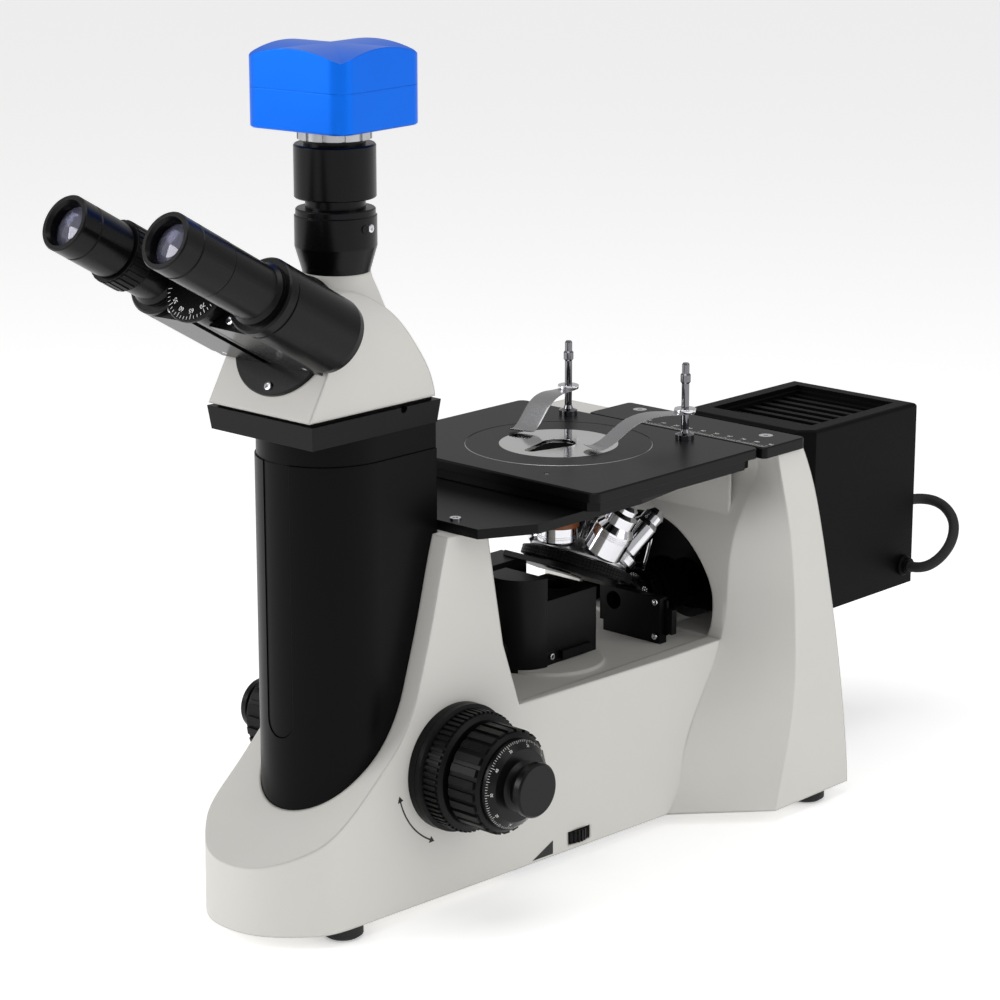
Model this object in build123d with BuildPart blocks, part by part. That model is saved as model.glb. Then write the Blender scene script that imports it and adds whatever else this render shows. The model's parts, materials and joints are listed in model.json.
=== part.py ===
from build123d import *
import os
from math import acos, asin, cos, degrees, pi, radians, sin, sqrt, tan

# Inverted metallurgical microscope with a trinocular head, a camera and a lamp house.
# Millimetres, +Z up. The origin is on the table, straight under the objective in use.
# +Y points to the back, where the lamp house is, and -Y to the eyepieces.

os.makedirs("parts", exist_ok=True)


def save(piece, name, frame=Plane.XY):
    """Put a finished piece into its frame, label it and write it to its own file."""
    placed = piece.part.moved(frame.location)
    placed.label = name
    export_step(placed, f"parts/{name}.step")
    return placed


# Clearances that seat one piece against another
slip = 0.3            # curved faces of pieces that move on each other
seat = 0.02           # flat faces that touch
fit = 0.05            # radial clearance of a shaft in its bore

# Casting: the white base with the pillar, the window and the rear tower
foot_height = 7.0
nose_reach = 262.0
side_front_half = 48.8
side_rear_half = 61.5
casting_rear = 146.5
wall_draft = 0.8
sill_height = 103.0
sill_floor = 101.0
pillar_top = 208.0
pillar_front = -144.0
pillar_rear = -115.0
window_front = -92.0
tower_top = 219.5
tower_front = 78.0
cavity_half = 44.0
cavity_front = -86.0
cavity_rear = 128.0
cavity_top = 92.0
base_plate_thick = 2.0

# Column: the black D-shaped upright
column_half = 38.0
column_nose = -184.6          # centre of its round front
column_back = -139.0
column_foot = 50.0
column_top = 268.6
panel_top = 254.5
strip_half = 9.5
panel_thick = 2.0
panel_gap = 0.4

# Flange under the head
flange_half = 39.8
flange_front = -232.4
flange_back = -138.4
flange_top = 281.2

# Focusing drive
focus_y = -140.2
focus_z = 79.6
coarse_shaft_radius = 7.0
fine_shaft_radius = 3.0
tension_radius = 35.5
tension_grip_radius = 33.5
coarse_radius = 29.0
dial_radius = 24.5
fine_radius = 15.0
tension_start = 56.0
coarse_start = 71.0
coarse_end = 93.0
fine_end = 111.5
shaft_clear = 12.0            # clearance radius round the shaft and pinion

# Optical train
beam_z = 121.0                # axis of the lamp and the illuminator
turret_tilt = 25.0
objective_circle = 22.0
turret_z = 158.0
turret_radius = 33.0
satin_radius = 28.0
parfocal = 45.0
objective_count = 5

# Nosepiece carriage: a slide in the pillar with an arm to the turret
carriage_left = -42.0
carriage_right = 20.0
carriage_front = -131.2
carriage_back = -121.0
carriage_bottom = 70.0
carriage_high = 185.0
carriage_slot_bottom = 56.0
carriage_slot_top = 198.0
arm_width = 20.0
arm_z = 130.0
arm_height = 25.0
focus_down = 2.0
focus_up = 9.0
arm_plate_front = -126.0
relay_z = 114.0               # height of the beam from the mirror box to the column
relay_radius = 7.0

# Tower recess behind the window, and the lamp neck in its back wall
recess_z = 118.0
recess_radius = 52.0
recess_depth = 42.0
neck_radius = 26.0

# Electrics in the base
wheel_x = 46.5
wheel_y = -45.0
wheel_z = 14.0
wheel_radius = 13.0
wheel_thick = 7.0
socket_x = -30.0
switch_x = 12.0
socket_z = 36.0
socket_width = 28.0
socket_height = 20.0

# Stage
stage_top = 226.0
plate_thick = 5.5
stage_half = 92.2
stage_front = -74.0
stage_rear = 69.6
ring_radius = 54.2
insert_radius = 34.3
travel_x = 7.5
travel_y = 15.0
bracket_top = 213.5

# Head
head_tilt = 30.0
eye_half = 37.5
eye_y = -325.1
eye_z = 389.3
eyepiece_radius = 15.0
barrel_radius = 20.4
trino_y = -175.4
head_bottom = 283.0
head_face = 133.0             # depth of the head's front face behind the eyepieces
disc_face = 130.5             # depth of the pivot disc's front face
pivot_v = -2.8
pivot_radius = 6.0
hub_radius = 16.4
tube_radius_eye = 14.9
ocular_radius = 11.6

# Lamp house
lamp_half = 48.8
lamp_front = 172.0
lamp_back = 286.0
lamp_bottom = 92.0
lamp_top = 209.5
lamp_wall = 2.5


def turned(*points):
    """Solid of revolution about the Z axis from a profile of (radius, height) points."""
    with BuildPart() as body:
        with BuildSketch(Plane.XZ):
            with BuildLine():
                Polyline(*points, close=True)
            make_face()
        revolve(axis=Axis.Z)
    return body.part


def toothed(outer, root, count, start, end, land=0.5):
    """Round bar with straight teeth along Z, for knurls, ribs and gears."""
    points = []
    for index in range(count):
        for radius, share in ((outer, 0), (outer, land), (root, land), (root, 1)):
            angle = 2 * pi * (index + 0.1 * (radius < outer) * (0.5 - share) + share) / count
            points.append((radius * cos(angle), radius * sin(angle)))
    with BuildPart() as body:
        with BuildSketch(Plane.XY.offset(start)):
            Polygon(*points, align=None)
        extrude(amount=end - start)
    return body.part


def block(x_low, x_high, y_low, y_high, z_low, z_high):
    """Box between its low and high corners."""
    with BuildPart() as body:
        with Locations(((x_low + x_high) / 2, (y_low + y_high) / 2, (z_low + z_high) / 2)):
            Box(x_high - x_low, y_high - y_low, z_high - z_low)
    return body.part


def rod(radius, start, end):
    """Round bar from one point to another."""
    run = Vector(*end) - Vector(*start)
    with BuildPart() as body:
        Cylinder(radius, run.length, align=(Align.CENTER, Align.CENTER, Align.MIN))
    return body.part.moved(Plane(origin=start, z_dir=run).location)


def column_outline(inset):
    """D-shaped plan of the column, drawn in by an inset: flat sides and a round front."""
    half = column_half - inset
    with BuildSketch() as outline:
        with BuildLine():
            side = Line((half, column_back - inset), (half, column_nose))
            front = CenterArc((0, column_nose), half, 180, 180)
            other = Line((-half, column_nose), (-half, column_back - inset))
            Line(other @ 1, side @ 0)
        make_face()
    return outline.sketch


def hull_outline(height):
    """Plan of the casting at a height: it narrows upwards by the wall draft."""
    inset = (height - foot_height) * tan(radians(wall_draft))
    half_front = side_front_half - inset
    half_rear = side_rear_half - inset
    with BuildSketch(Plane.XY.offset(height)) as outline:
        with BuildLine():
            nose = Spline(
                (0, -nose_reach + inset),
                (22, -256.5 + inset),
                (39 - 0.7 * inset, -242 + 0.7 * inset),
                (half_front, -214),
                tangents=[(1, 0), (0.06, 1)],
            )
            flank = Line(nose @ 1, (half_rear, 30))
            rear_flank = Line(flank @ 1, (half_rear, tower_front + 8))
            Line(rear_flank @ 1, (0, tower_front + 8))
            Line((0, tower_front + 8), nose @ 0)
        make_face()
        mirror(about=Plane.YZ)
    return outline.sketch


def tower_outline(height, shoulder, crease_front, crease_half, crease_y, back):
    """Plan of the rear tower at a height: a shoulder, a crease and a flat back."""
    with BuildSketch(Plane.XY.offset(height)) as outline:
        with BuildLine():
            Polyline(
                (shoulder, crease_front),
                (crease_half, crease_y),
                (crease_half, back),
                (-crease_half, back),
                (-crease_half, crease_y),
                (-shoulder, crease_front),
                close=True,
            )
        make_face()
    return outline.sketch


# White base casting: the plan outline is drawn out upwards with a little draft and
# then cut by the long curve that runs from the nose up to the pillar.
with BuildPart() as base_casting:
    loft([hull_outline(foot_height), hull_outline(tower_top)])
    with BuildSketch(Plane.YZ) as side_view:
        with BuildLine():
            sweep_curve = Spline(
                (-nose_reach - 2, 43),
                (-245, 51),
                (-225, 63),
                (-208, 76),
                (-194, 88.5),
                (-182, 100),
                (-171, 117),
                (-164, 137),
                (-157, 160),
                (-150, 187),
                (pillar_front, pillar_top),
            )
            Polyline(
                sweep_curve @ 1,
                (pillar_rear, pillar_top),
                (-110, 176),
                (-104, 140),
                (window_front, sill_height),
                (tower_front, sill_height),
                (tower_front + 8, tower_top),
                (tower_front + 8, foot_height),
                (-nose_reach - 2, foot_height),
                sweep_curve @ 0,
            )
        make_face()
    extrude(amount=2 * side_rear_half, both=True, mode=Mode.INTERSECT)
    # Rear tower: it narrows and leans forwards as it rises
    loft([
        tower_outline(foot_height, 61.5, 28, 104.5, 76, 146.5),
        tower_outline(36, 61.2, 42, 102.8, 86, 145.6),
        tower_outline(70, 60.8, 58, 100.8, 95.5, 142.5),
        tower_outline(101, 60.4, 76, 99, 98.5, 138.5),
        tower_outline(135, 62.5, 79.5, 97, 98.6, 132.8),
        tower_outline(176, 67.5, 82.5, 94.8, 95, 124.5),
        tower_outline(tower_top, 74, 85.5, 92, 86.5, 110),
    ])
    # Pocket for the column foot, open at the top
    with BuildSketch(Plane.XY.offset(column_foot)) as pocket_plan:
        add(column_outline(-slip))
    extrude(amount=tower_top, mode=Mode.SUBTRACT)
    # Slot of the nosepiece carriage, through the pillar towards the window
    with Locations((carriage_left - slip, column_back - 2, carriage_slot_bottom)):
        Box(
            carriage_right - carriage_left + 2 * slip,
            carriage_back + slip - column_back + 2,
            carriage_slot_top - carriage_slot_bottom,
            align=(Align.MIN, Align.MIN, Align.MIN),
            mode=Mode.SUBTRACT,
        )
    with Locations((carriage_left - slip, carriage_back, arm_z - focus_down - slip)):
        Box(
            arm_width + 2 * slip,
            window_front - carriage_back + 40,
            arm_height + focus_down + focus_up + 2 * slip,
            align=(Align.MIN, Align.MIN, Align.MIN),
            mode=Mode.SUBTRACT,
        )
    # Bore for the beam to the column, and the sunken floor of the window
    add(rod(relay_radius + seat, (0, -60, relay_z), (0, -150, relay_z)), mode=Mode.SUBTRACT)
    add(block(-50, 50, -86, tower_front, sill_floor, sill_height + 1), mode=Mode.SUBTRACT)
    add(rod(32, (8, -16, sill_floor - 1), (8, -16, sill_height)))
    # Bore of the focus shaft
    with BuildSketch(Plane.YZ.offset(-side_rear_half)):
        with Locations((focus_y, focus_z)):
            Circle(coarse_shaft_radius + slip)
    extrude(amount=2 * side_rear_half, mode=Mode.SUBTRACT)
    # Recess of the lamp side in the tower, with the sill as its floor
    with BuildSketch(Plane.XZ.offset(-tower_front + 10)):
        with Locations((0, recess_z)):
            Circle(recess_radius)
        with Locations((0, sill_height)):
            Rectangle(
                2 * recess_radius + 10,
                recess_radius,
                align=(Align.CENTER, Align.MAX),
                mode=Mode.SUBTRACT,
            )
    extrude(amount=-(recess_depth + 10), mode=Mode.SUBTRACT)
    # Bore of the lamp neck through the back of the tower
    with BuildSketch(Plane.XZ.offset(-tower_front)):
        with Locations((0, beam_z)):
            Circle(neck_radius + seat)
    extrude(amount=-(casting_rear - tower_front), mode=Mode.SUBTRACT)
    # Cavity for the power supply, open at the bottom
    with Locations((0, (cavity_front + cavity_rear) / 2, foot_height)):
        Box(
            2 * cavity_half,
            cavity_rear - cavity_front,
            cavity_top - foot_height,
            align=(Align.CENTER, Align.CENTER, Align.MIN),
            mode=Mode.SUBTRACT,
        )
    # Slot for the brightness wheel in the right wall
    with Locations((wheel_x, wheel_y, wheel_z)):
        Cylinder(wheel_radius + 1.0, wheel_thick + 1.0, mode=Mode.SUBTRACT)
    add(rod(2.0 + seat, (wheel_x, wheel_y, 0), (wheel_x, wheel_y, 20)), mode=Mode.SUBTRACT)
    # Windows for the mains socket and the switch in the back
    with Locations((socket_x, casting_rear, socket_z), (switch_x, casting_rear, socket_z)):
        Box(socket_width, 2 * (casting_rear - cavity_rear), socket_height, mode=Mode.SUBTRACT)
save(base_casting, "base_casting")

# Foot, cover and rubber feet of the base
with BuildPart() as base_plate:
    add(block(-52, 52, cavity_front - 8, cavity_rear + 8,
              foot_height - base_plate_thick - seat, foot_height - seat))
    for x in (-47, 47):
        for y in (cavity_front - 3, 20, cavity_rear + 3):
            add(rod(3.2, (x, y, 4.0), (x, y, foot_height - base_plate_thick)))
    for y in range(-60, 101, 16):
        add(block(-20, 20, y, y + 4, 0, foot_height), mode=Mode.SUBTRACT)
    # Pin that the brightness wheel turns on
    add(rod(2.0, (wheel_x, wheel_y, foot_height - 1), (wheel_x, wheel_y, 19)))
save(base_plate, "base_plate")

with BuildPart() as rubber_feet:
    for x, y in ((-38, -214), (38, -214), (-92, 122), (92, 122)):
        foot = turned((0, 0), (9, 0), (11, 1.5), (11, foot_height - seat), (0, foot_height - seat))
        add(foot.moved(Location((x, y, 0))))
save(rubber_feet, "rubber_feet")

# Column: a core with a thin wrap that leaves a strip with a round lower end in front
strip_bottom = 104.0
core_inset = panel_thick + seat
with BuildPart() as column_core:
    with BuildSketch(Plane.XY.offset(column_foot + seat)):
        add(column_outline(core_inset))
    extrude(amount=column_top - column_foot - seat)
    with BuildSketch(Plane.XY.offset(panel_top + seat)):
        add(column_outline(0.8))
    extrude(amount=column_top - panel_top - seat)
    # Strip in the slot of the wrap
    with BuildSketch(Plane.XZ):
        with Locations((0, (panel_top + strip_bottom) / 2 + strip_half / 2)):
            Rectangle(2 * strip_half - 2 * panel_gap, panel_top - strip_bottom - strip_half)
        with Locations((0, strip_bottom + strip_half)):
            Circle(strip_half - panel_gap)
    extrude(amount=230)
    with BuildSketch(Plane.XY):
        add(column_outline(0.5))
    extrude(amount=column_top, mode=Mode.INTERSECT)
    # Light path: in from the mirror box, then up to the head
    add(rod(15, (0, trino_y, relay_z - 18), (0, trino_y, column_top + 1)), mode=Mode.SUBTRACT)
    add(rod(relay_radius, (0, trino_y, relay_z), (0, column_back + 5, relay_z)), mode=Mode.SUBTRACT)
    # Room for the focus shaft and its pinion
    add(rod(shaft_clear, (-60, focus_y, focus_z), (60, focus_y, focus_z)), mode=Mode.SUBTRACT)
save(column_core, "column_core")

with BuildPart() as column_wrap:
    with BuildSketch(Plane.XY.offset(column_foot + seat)):
        add(column_outline(0))
        add(column_outline(panel_thick), mode=Mode.SUBTRACT)
    extrude(amount=panel_top - column_foot - seat)
    add(block(-60, 60, column_back - 1, 0, 0, 300), mode=Mode.SUBTRACT)
    with BuildSketch(Plane.XZ):
        with Locations((0, (panel_top + strip_bottom) / 2 + strip_half / 2)):
            Rectangle(2 * strip_half, panel_top - strip_bottom - strip_half + 1)
        with Locations((0, strip_bottom + strip_half)):
            Circle(strip_half)
    extrude(amount=260, mode=Mode.SUBTRACT)
    add(rod(shaft_clear, (-60, focus_y, focus_z), (60, focus_y, focus_z)), mode=Mode.SUBTRACT)
save(column_wrap, "column_wrap")

# Flange between column and head, with a locking slot in its right edge
with BuildPart() as head_flange:
    with BuildSketch(Plane.XY.offset(column_top + seat)):
        with Locations((0, (flange_front + flange_back) / 2)):
            Rectangle(2 * flange_half - 3, flange_back - flange_front - 3)
    with BuildSketch(Plane.XY.offset(flange_top)):
        with Locations((0, (flange_front + flange_back) / 2)):
            Rectangle(2 * flange_half, flange_back - flange_front)
    loft()
    # Low plinth that leaves a dark gap under the head
    add(block(-flange_half + 4, flange_half - 4, flange_front + 4, flange_back - 3,
              flange_top, head_bottom - seat))
    add(rod(15, (0, trino_y, 200), (0, trino_y, 300)), mode=Mode.SUBTRACT)
    add(rod(2.2, (flange_half - 4, -166, flange_top - 1), (60, -166, flange_top - 1)),
        mode=Mode.SUBTRACT)
    add(block(flange_half - 4, 60, -168.2, -163.8, flange_top - 1, 300), mode=Mode.SUBTRACT)
save(head_flange, "head_flange")

# Focusing drive
right_side = Plane(origin=(0, focus_y, focus_z), x_dir=(0, 1, 0), z_dir=(1, 0, 0))
left_side = Plane(origin=(0, focus_y, focus_z), x_dir=(0, -1, 0), z_dir=(-1, 0, 0))
boss_end = 54.4
left_inset = 6.0              # the left knobs sit closer, having no tension ring
with BuildPart() as focus_bosses:
    for side, end in ((right_side, boss_end), (left_side, coarse_start - left_inset - slip)):
        ring = turned(
            (coarse_shaft_radius + slip, 40),
            (tension_radius, 40),
            (tension_radius, boss_end),
            (dial_radius, boss_end),
            (dial_radius, max(end, boss_end + 0.01)),
            (coarse_shaft_radius + slip, max(end, boss_end + 0.01)),
        )
        add(ring.moved(side.location))
    add(base_casting.part, mode=Mode.SUBTRACT)
    add(block(-45, 45, -260, -80, 0, 300), mode=Mode.SUBTRACT)
save(focus_bosses, "focus_bosses")

with BuildPart() as tension_ring:
    add(turned(
        (coarse_shaft_radius + slip, boss_end + slip),
        (tension_radius, boss_end + slip),
        (tension_radius, boss_end + 3.5),
        (tension_grip_radius - 1.2, boss_end + 4.5),
        (tension_grip_radius - 1.2, 68.6),
        (tension_grip_radius - 4, 69.8),
        (coarse_shaft_radius + slip, 69.8),
    ))
    grip = toothed(tension_grip_radius, tension_grip_radius - 1.4, 60, boss_end + 4.5, 68)
    add(grip)
    add(rod(coarse_shaft_radius + slip, (0, 0, 40), (0, 0, 80)), mode=Mode.SUBTRACT)
save(tension_ring, "tension_ring", right_side)

pinion_radius = carriage_front - focus_y - slip


def coarse_knob_body(start):
    """Ribbed coarse knob from its start along the shaft."""
    end = start + coarse_end - coarse_start
    with BuildPart() as body:
        add(turned(
            (0, start),
            (coarse_radius - 2.6, start),
            (coarse_radius - 1.6, start + 1),
            (coarse_radius - 1.6, end - 1.5),
            (coarse_radius - 3.4, end),
            (0, end),
        ))
        add(toothed(coarse_radius, coarse_radius - 1.8, 26, start + 2, end - 2.5, 0.6))
        add(rod(fine_shaft_radius + slip, (0, 0, 0), (0, 0, end + 9)), mode=Mode.SUBTRACT)
    return body.part


def fine_knob_body(start):
    """Fine knob with its graduated cone, from the cone's start along the shaft."""
    end = start + fine_end - coarse_end - slip
    return turned(
        (0, start),
        (dial_radius, start),
        (dial_radius, start + 2.2),
        (dial_radius - 4.5, start + 5.7),
        (fine_radius - 1, start + 6.3),
        (fine_radius - 3.6, start + 8.2),
        (fine_radius - 3.4, start + 11.7),
        (fine_radius, start + 13.7),
        (fine_radius, end - 1),
        (fine_radius - 1, end),
        (0, end),
    )


shaft_end = coarse_end - 1
with BuildPart() as coarse_knob_right:
    add(coarse_knob_body(coarse_start))
    add(rod(coarse_shaft_radius + seat, (0, 0, 0), (0, 0, shaft_end + seat)), mode=Mode.SUBTRACT)
save(coarse_knob_right, "coarse_knob_right", right_side)

# The left coarse knob carries the hollow shaft with the pinion
with BuildPart() as coarse_knob_left:
    add(coarse_knob_body(coarse_start - left_inset))
    add(rod(coarse_shaft_radius, (0, 0, -shaft_end), (0, 0, coarse_start)))
    add(toothed(pinion_radius, coarse_shaft_radius - 0.5, 16, -12, 12))
    add(rod(fine_shaft_radius + slip, (0, 0, -110), (0, 0, 110)), mode=Mode.SUBTRACT)
save(coarse_knob_left, "coarse_knob_left", left_side)

fine_seat = fine_end - 3
with BuildPart() as fine_knob_right:
    add(fine_knob_body(coarse_end + slip))
    add(rod(fine_shaft_radius + seat, (0, 0, 0), (0, 0, fine_seat + seat)), mode=Mode.SUBTRACT)
save(fine_knob_right, "fine_knob_right", right_side)

# The left fine knob carries the thin shaft inside the hollow one
with BuildPart() as fine_knob_left:
    add(fine_knob_body(coarse_end - left_inset + slip))
    add(rod(fine_shaft_radius, (0, 0, -fine_seat), (0, 0, coarse_end)))
save(fine_knob_left, "fine_knob_left", left_side)

# Brightness wheel and what stands in the base
with BuildPart() as brightness_wheel:
    add(toothed(wheel_radius, wheel_radius - 0.8, 30, -wheel_thick / 2, wheel_thick / 2))
    add(rod(2.0 + slip, (0, 0, -9), (0, 0, 9)), mode=Mode.SUBTRACT)
save(brightness_wheel, "brightness_wheel", Plane(origin=(wheel_x, wheel_y, wheel_z)))

with BuildPart() as power_supply:
    add(block(-34, 30, 20, 104, foot_height, foot_height + 3))
    add(block(-28, -2, 40, 76, foot_height + 3, 44))
    add(block(4, 24, 34, 70, foot_height + 3, 34))
    for x, y in ((10, 88), (24, 88)):
        add(rod(5, (x, y, foot_height + 3), (x, y, 32)))
save(power_supply, "power_supply")

# Back panel pieces: the mains socket and the frame of the switch
half_w = socket_width / 2
half_h = socket_height / 2
with BuildPart() as power_panel:
    for x, front in ((socket_x, 148.4), (switch_x, 147.6)):
        add(block(x - half_w + seat, x + half_w - seat, cavity_rear - 12, front,
                  socket_z - half_h + seat, socket_z + half_h - seat))
        add(block(x - half_w - 3, x + half_w + 3, 140, front,
                  socket_z - half_h - 3, socket_z + half_h + 3))
    add(base_casting.part, mode=Mode.SUBTRACT)
    add(block(socket_x - 11, socket_x + 11, 132, 160, socket_z - 7, socket_z + 7),
        mode=Mode.SUBTRACT)
    add(block(switch_x - 10, switch_x + 10, cavity_rear - 6, 160, socket_z - 8, socket_z + 8),
        mode=Mode.SUBTRACT)
    for x in (-6, 0, 6):
        add(block(socket_x + x - 1, socket_x + x + 1, 131, 144, socket_z - 3, socket_z + 2))
save(power_panel, "power_panel")

rocker_y = 140.0
with BuildPart() as power_rocker:
    with BuildSketch(Plane.YZ.offset(switch_x - 9.5)):
        with BuildLine():
            Polyline(
                (rocker_y - 5, socket_z - 4),
                (rocker_y + 6.0, socket_z - 5.4),
                (rocker_y + 7.4, socket_z),
                (rocker_y + 9.2, socket_z + 5.4),
                (rocker_y - 5, socket_z + 4),
                close=True,
            )
        make_face()
    extrude(amount=19)
save(power_rocker, "power_rocker")

# Stage: a fixed bracket on the pillar and a plate on the tower, and between them a
# carriage that slides along Y and carries the top plate, which slides along X.
rear_screws = ((-21.9, 98.2), (75.3, 96.5))
front_screws = ((41, -129), (-41, -129))
drive_x = -84.4
drive_y = -44.0
drive_stem = 3.0
rail_half = 3.0
rail_x = 70.0
rail_y = 58.0
rail_high = 2.0
carriage_low = bracket_top + slip
carriage_top = 220.0
plate_low = carriage_top + slip
with BuildPart() as stage_bracket:
    with BuildSketch(Plane.XY.offset(pillar_top + seat)):
        Polygon(
            (-64, -136), (64, -136), (80, -106), (80, -20), (72, 30), (72, 84.5),
            (-72, 84.5), (-72, 30), (-80, -20), (-80, -106), align=None,
        )
    extrude(amount=bracket_top - pillar_top - seat)
    add(rod(52, (0, 4, 200), (0, 4, 220)), mode=Mode.SUBTRACT)
    add(block(-38.4, 38.4, -150, column_back + slip + 0.6, 200, 220), mode=Mode.SUBTRACT)
    for x in (-rail_x, rail_x):
        add(block(x - rail_half, x + rail_half, -52, 62, bracket_top - 1, bracket_top + rail_high))
    for x, y in front_screws:
        add(rod(3.2, (x, y, bracket_top - 1), (x, y, 220)), mode=Mode.SUBTRACT)

# Plate on the tower behind the moving stage, with two countersunk screws
with BuildPart() as stage_rear_plate:
    add(block(-39, 95, stage_rear + 0.6, 108.5, tower_top + seat, stage_top))
    fillet(stage_rear_plate.edges().filter_by(Axis.Z), 3)
    chamfer(stage_rear_plate.faces().sort_by(Axis.Z)[-1].edges(), 0.6)
    for x, y in rear_screws:
        hole = turned((0, -4), (2.0, -4), (2.0, -2.4), (4.4, 0), (4.4, 1), (0, 1))
        add(hole.moved(Location((x, y, stage_top))), mode=Mode.SUBTRACT)

with BuildPart() as stage_frame:
    add(stage_bracket.part)
    add(stage_rear_plate.part)
save(stage_frame, "stage_frame")

with BuildPart() as stage_carriage:
    add(block(-stage_half + 4, stage_half - 4, stage_front + 4, stage_rear - 4,
              carriage_low, carriage_top))
    chamfer(stage_carriage.edges().filter_by(Axis.Z), 5)
    add(rod(50, (0, 7, 200), (0, 7, 230)), mode=Mode.SUBTRACT)
    for x in (-rail_x, rail_x):
        add(block(x - rail_half - slip, x + rail_half + slip, -52 - slip, stage_rear,
                  carriage_low - 1, bracket_top + rail_high + slip), mode=Mode.SUBTRACT)
    for y in (-rail_y, rail_y):
        add(block(-60, 60, y - rail_half, y + rail_half, carriage_top - 1, carriage_top + rail_high))
    add(rod(drive_stem, (drive_x, drive_y, 150), (drive_x, drive_y, carriage_low + 1)))
    add(rod(drive_stem + 2, (drive_x, drive_y, 195), (drive_x, drive_y, 205)))
save(stage_carriage, "stage_carriage")

with BuildPart() as stage_plate:
    add(block(-stage_half, stage_half, stage_front, stage_rear, plate_low, stage_top))
    fillet(stage_plate.edges().filter_by(Axis.Z), 5)
    chamfer(stage_plate.faces().sort_by(Axis.Z)[-1].edges(), 0.8)
    add(rod(ring_radius + seat, (0, 0, stage_top - 3.5), (0, 0, 230)), mode=Mode.SUBTRACT)
    add(rod(48, (0, 0, 200), (0, 0, 230)), mode=Mode.SUBTRACT)
    for y in (-rail_y, rail_y):
        add(block(-60 - travel_x - slip, 60 + travel_x + slip, y - rail_half - slip,
                  y + rail_half + slip, plate_low - 1, carriage_top + rail_high + slip),
            mode=Mode.SUBTRACT)
    with Locations((42.9, -57.8, stage_top)):
        Cylinder(1.6, 3, mode=Mode.SUBTRACT)
save(stage_plate, "stage_plate")

with BuildPart() as stage_ring:
    add(turned(
        (insert_radius - 2.5, stage_top - 3.5 + seat),
        (ring_radius, stage_top - 3.5 + seat),
        (ring_radius, stage_top - 0.3),
        (ring_radius - 0.5, stage_top),
        (insert_radius + seat, stage_top),
        (insert_radius + seat, stage_top - 2),
        (insert_radius - 2.5, stage_top - 2),
    ))
save(stage_ring, "stage_ring")

with BuildPart() as stage_insert:
    add(rod(insert_radius, (0, 0, stage_top - 2 + seat), (0, 0, stage_top)))
    with BuildSketch(Plane.XY.offset(stage_top - 3)):
        Circle(10)
        Polygon((9.6, -3), (4, -23), (-4, -23), (-9.6, -3), align=None)
        with Locations((0, -23)):
            Circle(4)
    extrude(amount=5, mode=Mode.SUBTRACT)
save(stage_insert, "stage_insert")

with BuildPart() as stage_screws:
    for x, y in rear_screws:
        head = turned((0, -2.3), (1.9, -2.3), (4.2, -0.1), (4.2, 0), (0, 0))
        add(head.moved(Location((x, y, stage_top - 0.1))))
        add(rod(1.3, (x, y, stage_top - 1.4), (x, y, 230)), mode=Mode.SUBTRACT)
    for x, y in front_screws:
        add(rod(3.1, (x, y, bracket_top - 0.9), (x, y, bracket_top + 1.2)))
        add(rod(1.4, (x, y, bracket_top), (x, y, 230)), mode=Mode.SUBTRACT)
save(stage_screws, "stage_screws")

# Specimen clips: two posts on the top plate, each with a leaf spring that swings
clip_posts_at = ((-44.0, 58.0), (47.0, 56.7))
clip_high = 45.0
with BuildPart() as clip_posts:
    for x, y in clip_posts_at:
        post = turned(
            (0, seat), (5.5, seat), (5.5, 3), (3, 4), (2.2, 6), (2.2, 33), (3.0, 34),
            (3.0, 38), (2.2, 39), (2.2, clip_high - 1), (1.6, clip_high), (0, clip_high),
        )
        add(post.moved(Location((x, y, stage_top))))
save(clip_posts, "clip_posts")

leaf_thick = 0.6
leaf_width = 9.0
for side_name, (x, y), tip in (
    ("left", clip_posts_at[0], (-32.0, 1.0)),
    ("right", clip_posts_at[1], (25.0, -3.0)),
):
    reach = sqrt((tip[0] - x) ** 2 + (tip[1] - y) ** 2)
    with BuildPart() as clip_spring:
        run = (
            (0, 15.0), (reach * 0.3, 16.0), (reach * 0.5, 14.8), (reach * 0.62, 11.5),
            (reach * 0.72, 6.0), (reach * 0.82, 2.4), (reach * 0.9, 1.0), (reach, 2.2),
        )
        with BuildSketch(Plane.XZ.offset(-leaf_width / 2)):
            Polygon(
                *[(s, z + leaf_thick / 2) for s, z in run],
                *[(s, z - leaf_thick / 2) for s, z in reversed(run)],
                align=None,
            )
        extrude(amount=leaf_width)
        add(rod(4.8, (0, 0, 12.4), (0, 0, 18.4)))
        add(rod(2.2 + slip, (0, 0, 10), (0, 0, 30)), mode=Mode.SUBTRACT)
    swing = Plane(origin=(x, y, stage_top), x_dir=(tip[0] - x, tip[1] - y, 0), z_dir=(0, 0, 1))
    save(clip_spring, f"clip_spring_{side_name}", swing)

# Coaxial stage controls on the far side, on a stem that hangs from the carriage
with BuildPart() as drive_knob_y:
    add(toothed(11.5, 10.6, 24, 174, 194))
    add(rod(drive_stem + slip, (0, 0, 100), (0, 0, 250)), mode=Mode.SUBTRACT)
save(drive_knob_y, "drive_knob_y", Plane(origin=(drive_x, drive_y, 0)))
with BuildPart() as drive_knob_x:
    add(toothed(8.5, 7.8, 20, 152, 172))
    add(rod(drive_stem + slip, (0, 0, 100), (0, 0, 250)), mode=Mode.SUBTRACT)
save(drive_knob_x, "drive_knob_x", Plane(origin=(drive_x, drive_y, 0)))

# Nosepiece: a carriage in the pillar, an arm with a seat, and the turret on the seat
tilt = radians(turret_tilt)
seat_face = -11.0
seat_thick = 4.0
turret_frame = Plane(
    origin=(0, objective_circle * cos(tilt), turret_z),
    x_dir=(1, 0, 0),
    z_dir=(0, sin(tilt), cos(tilt)),
)
beam_slot = block(
    -relay_radius - 2, relay_radius + 2, -140, -110,
    relay_z - relay_radius - focus_up - 1, relay_z + relay_radius + focus_down + 1,
)
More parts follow.
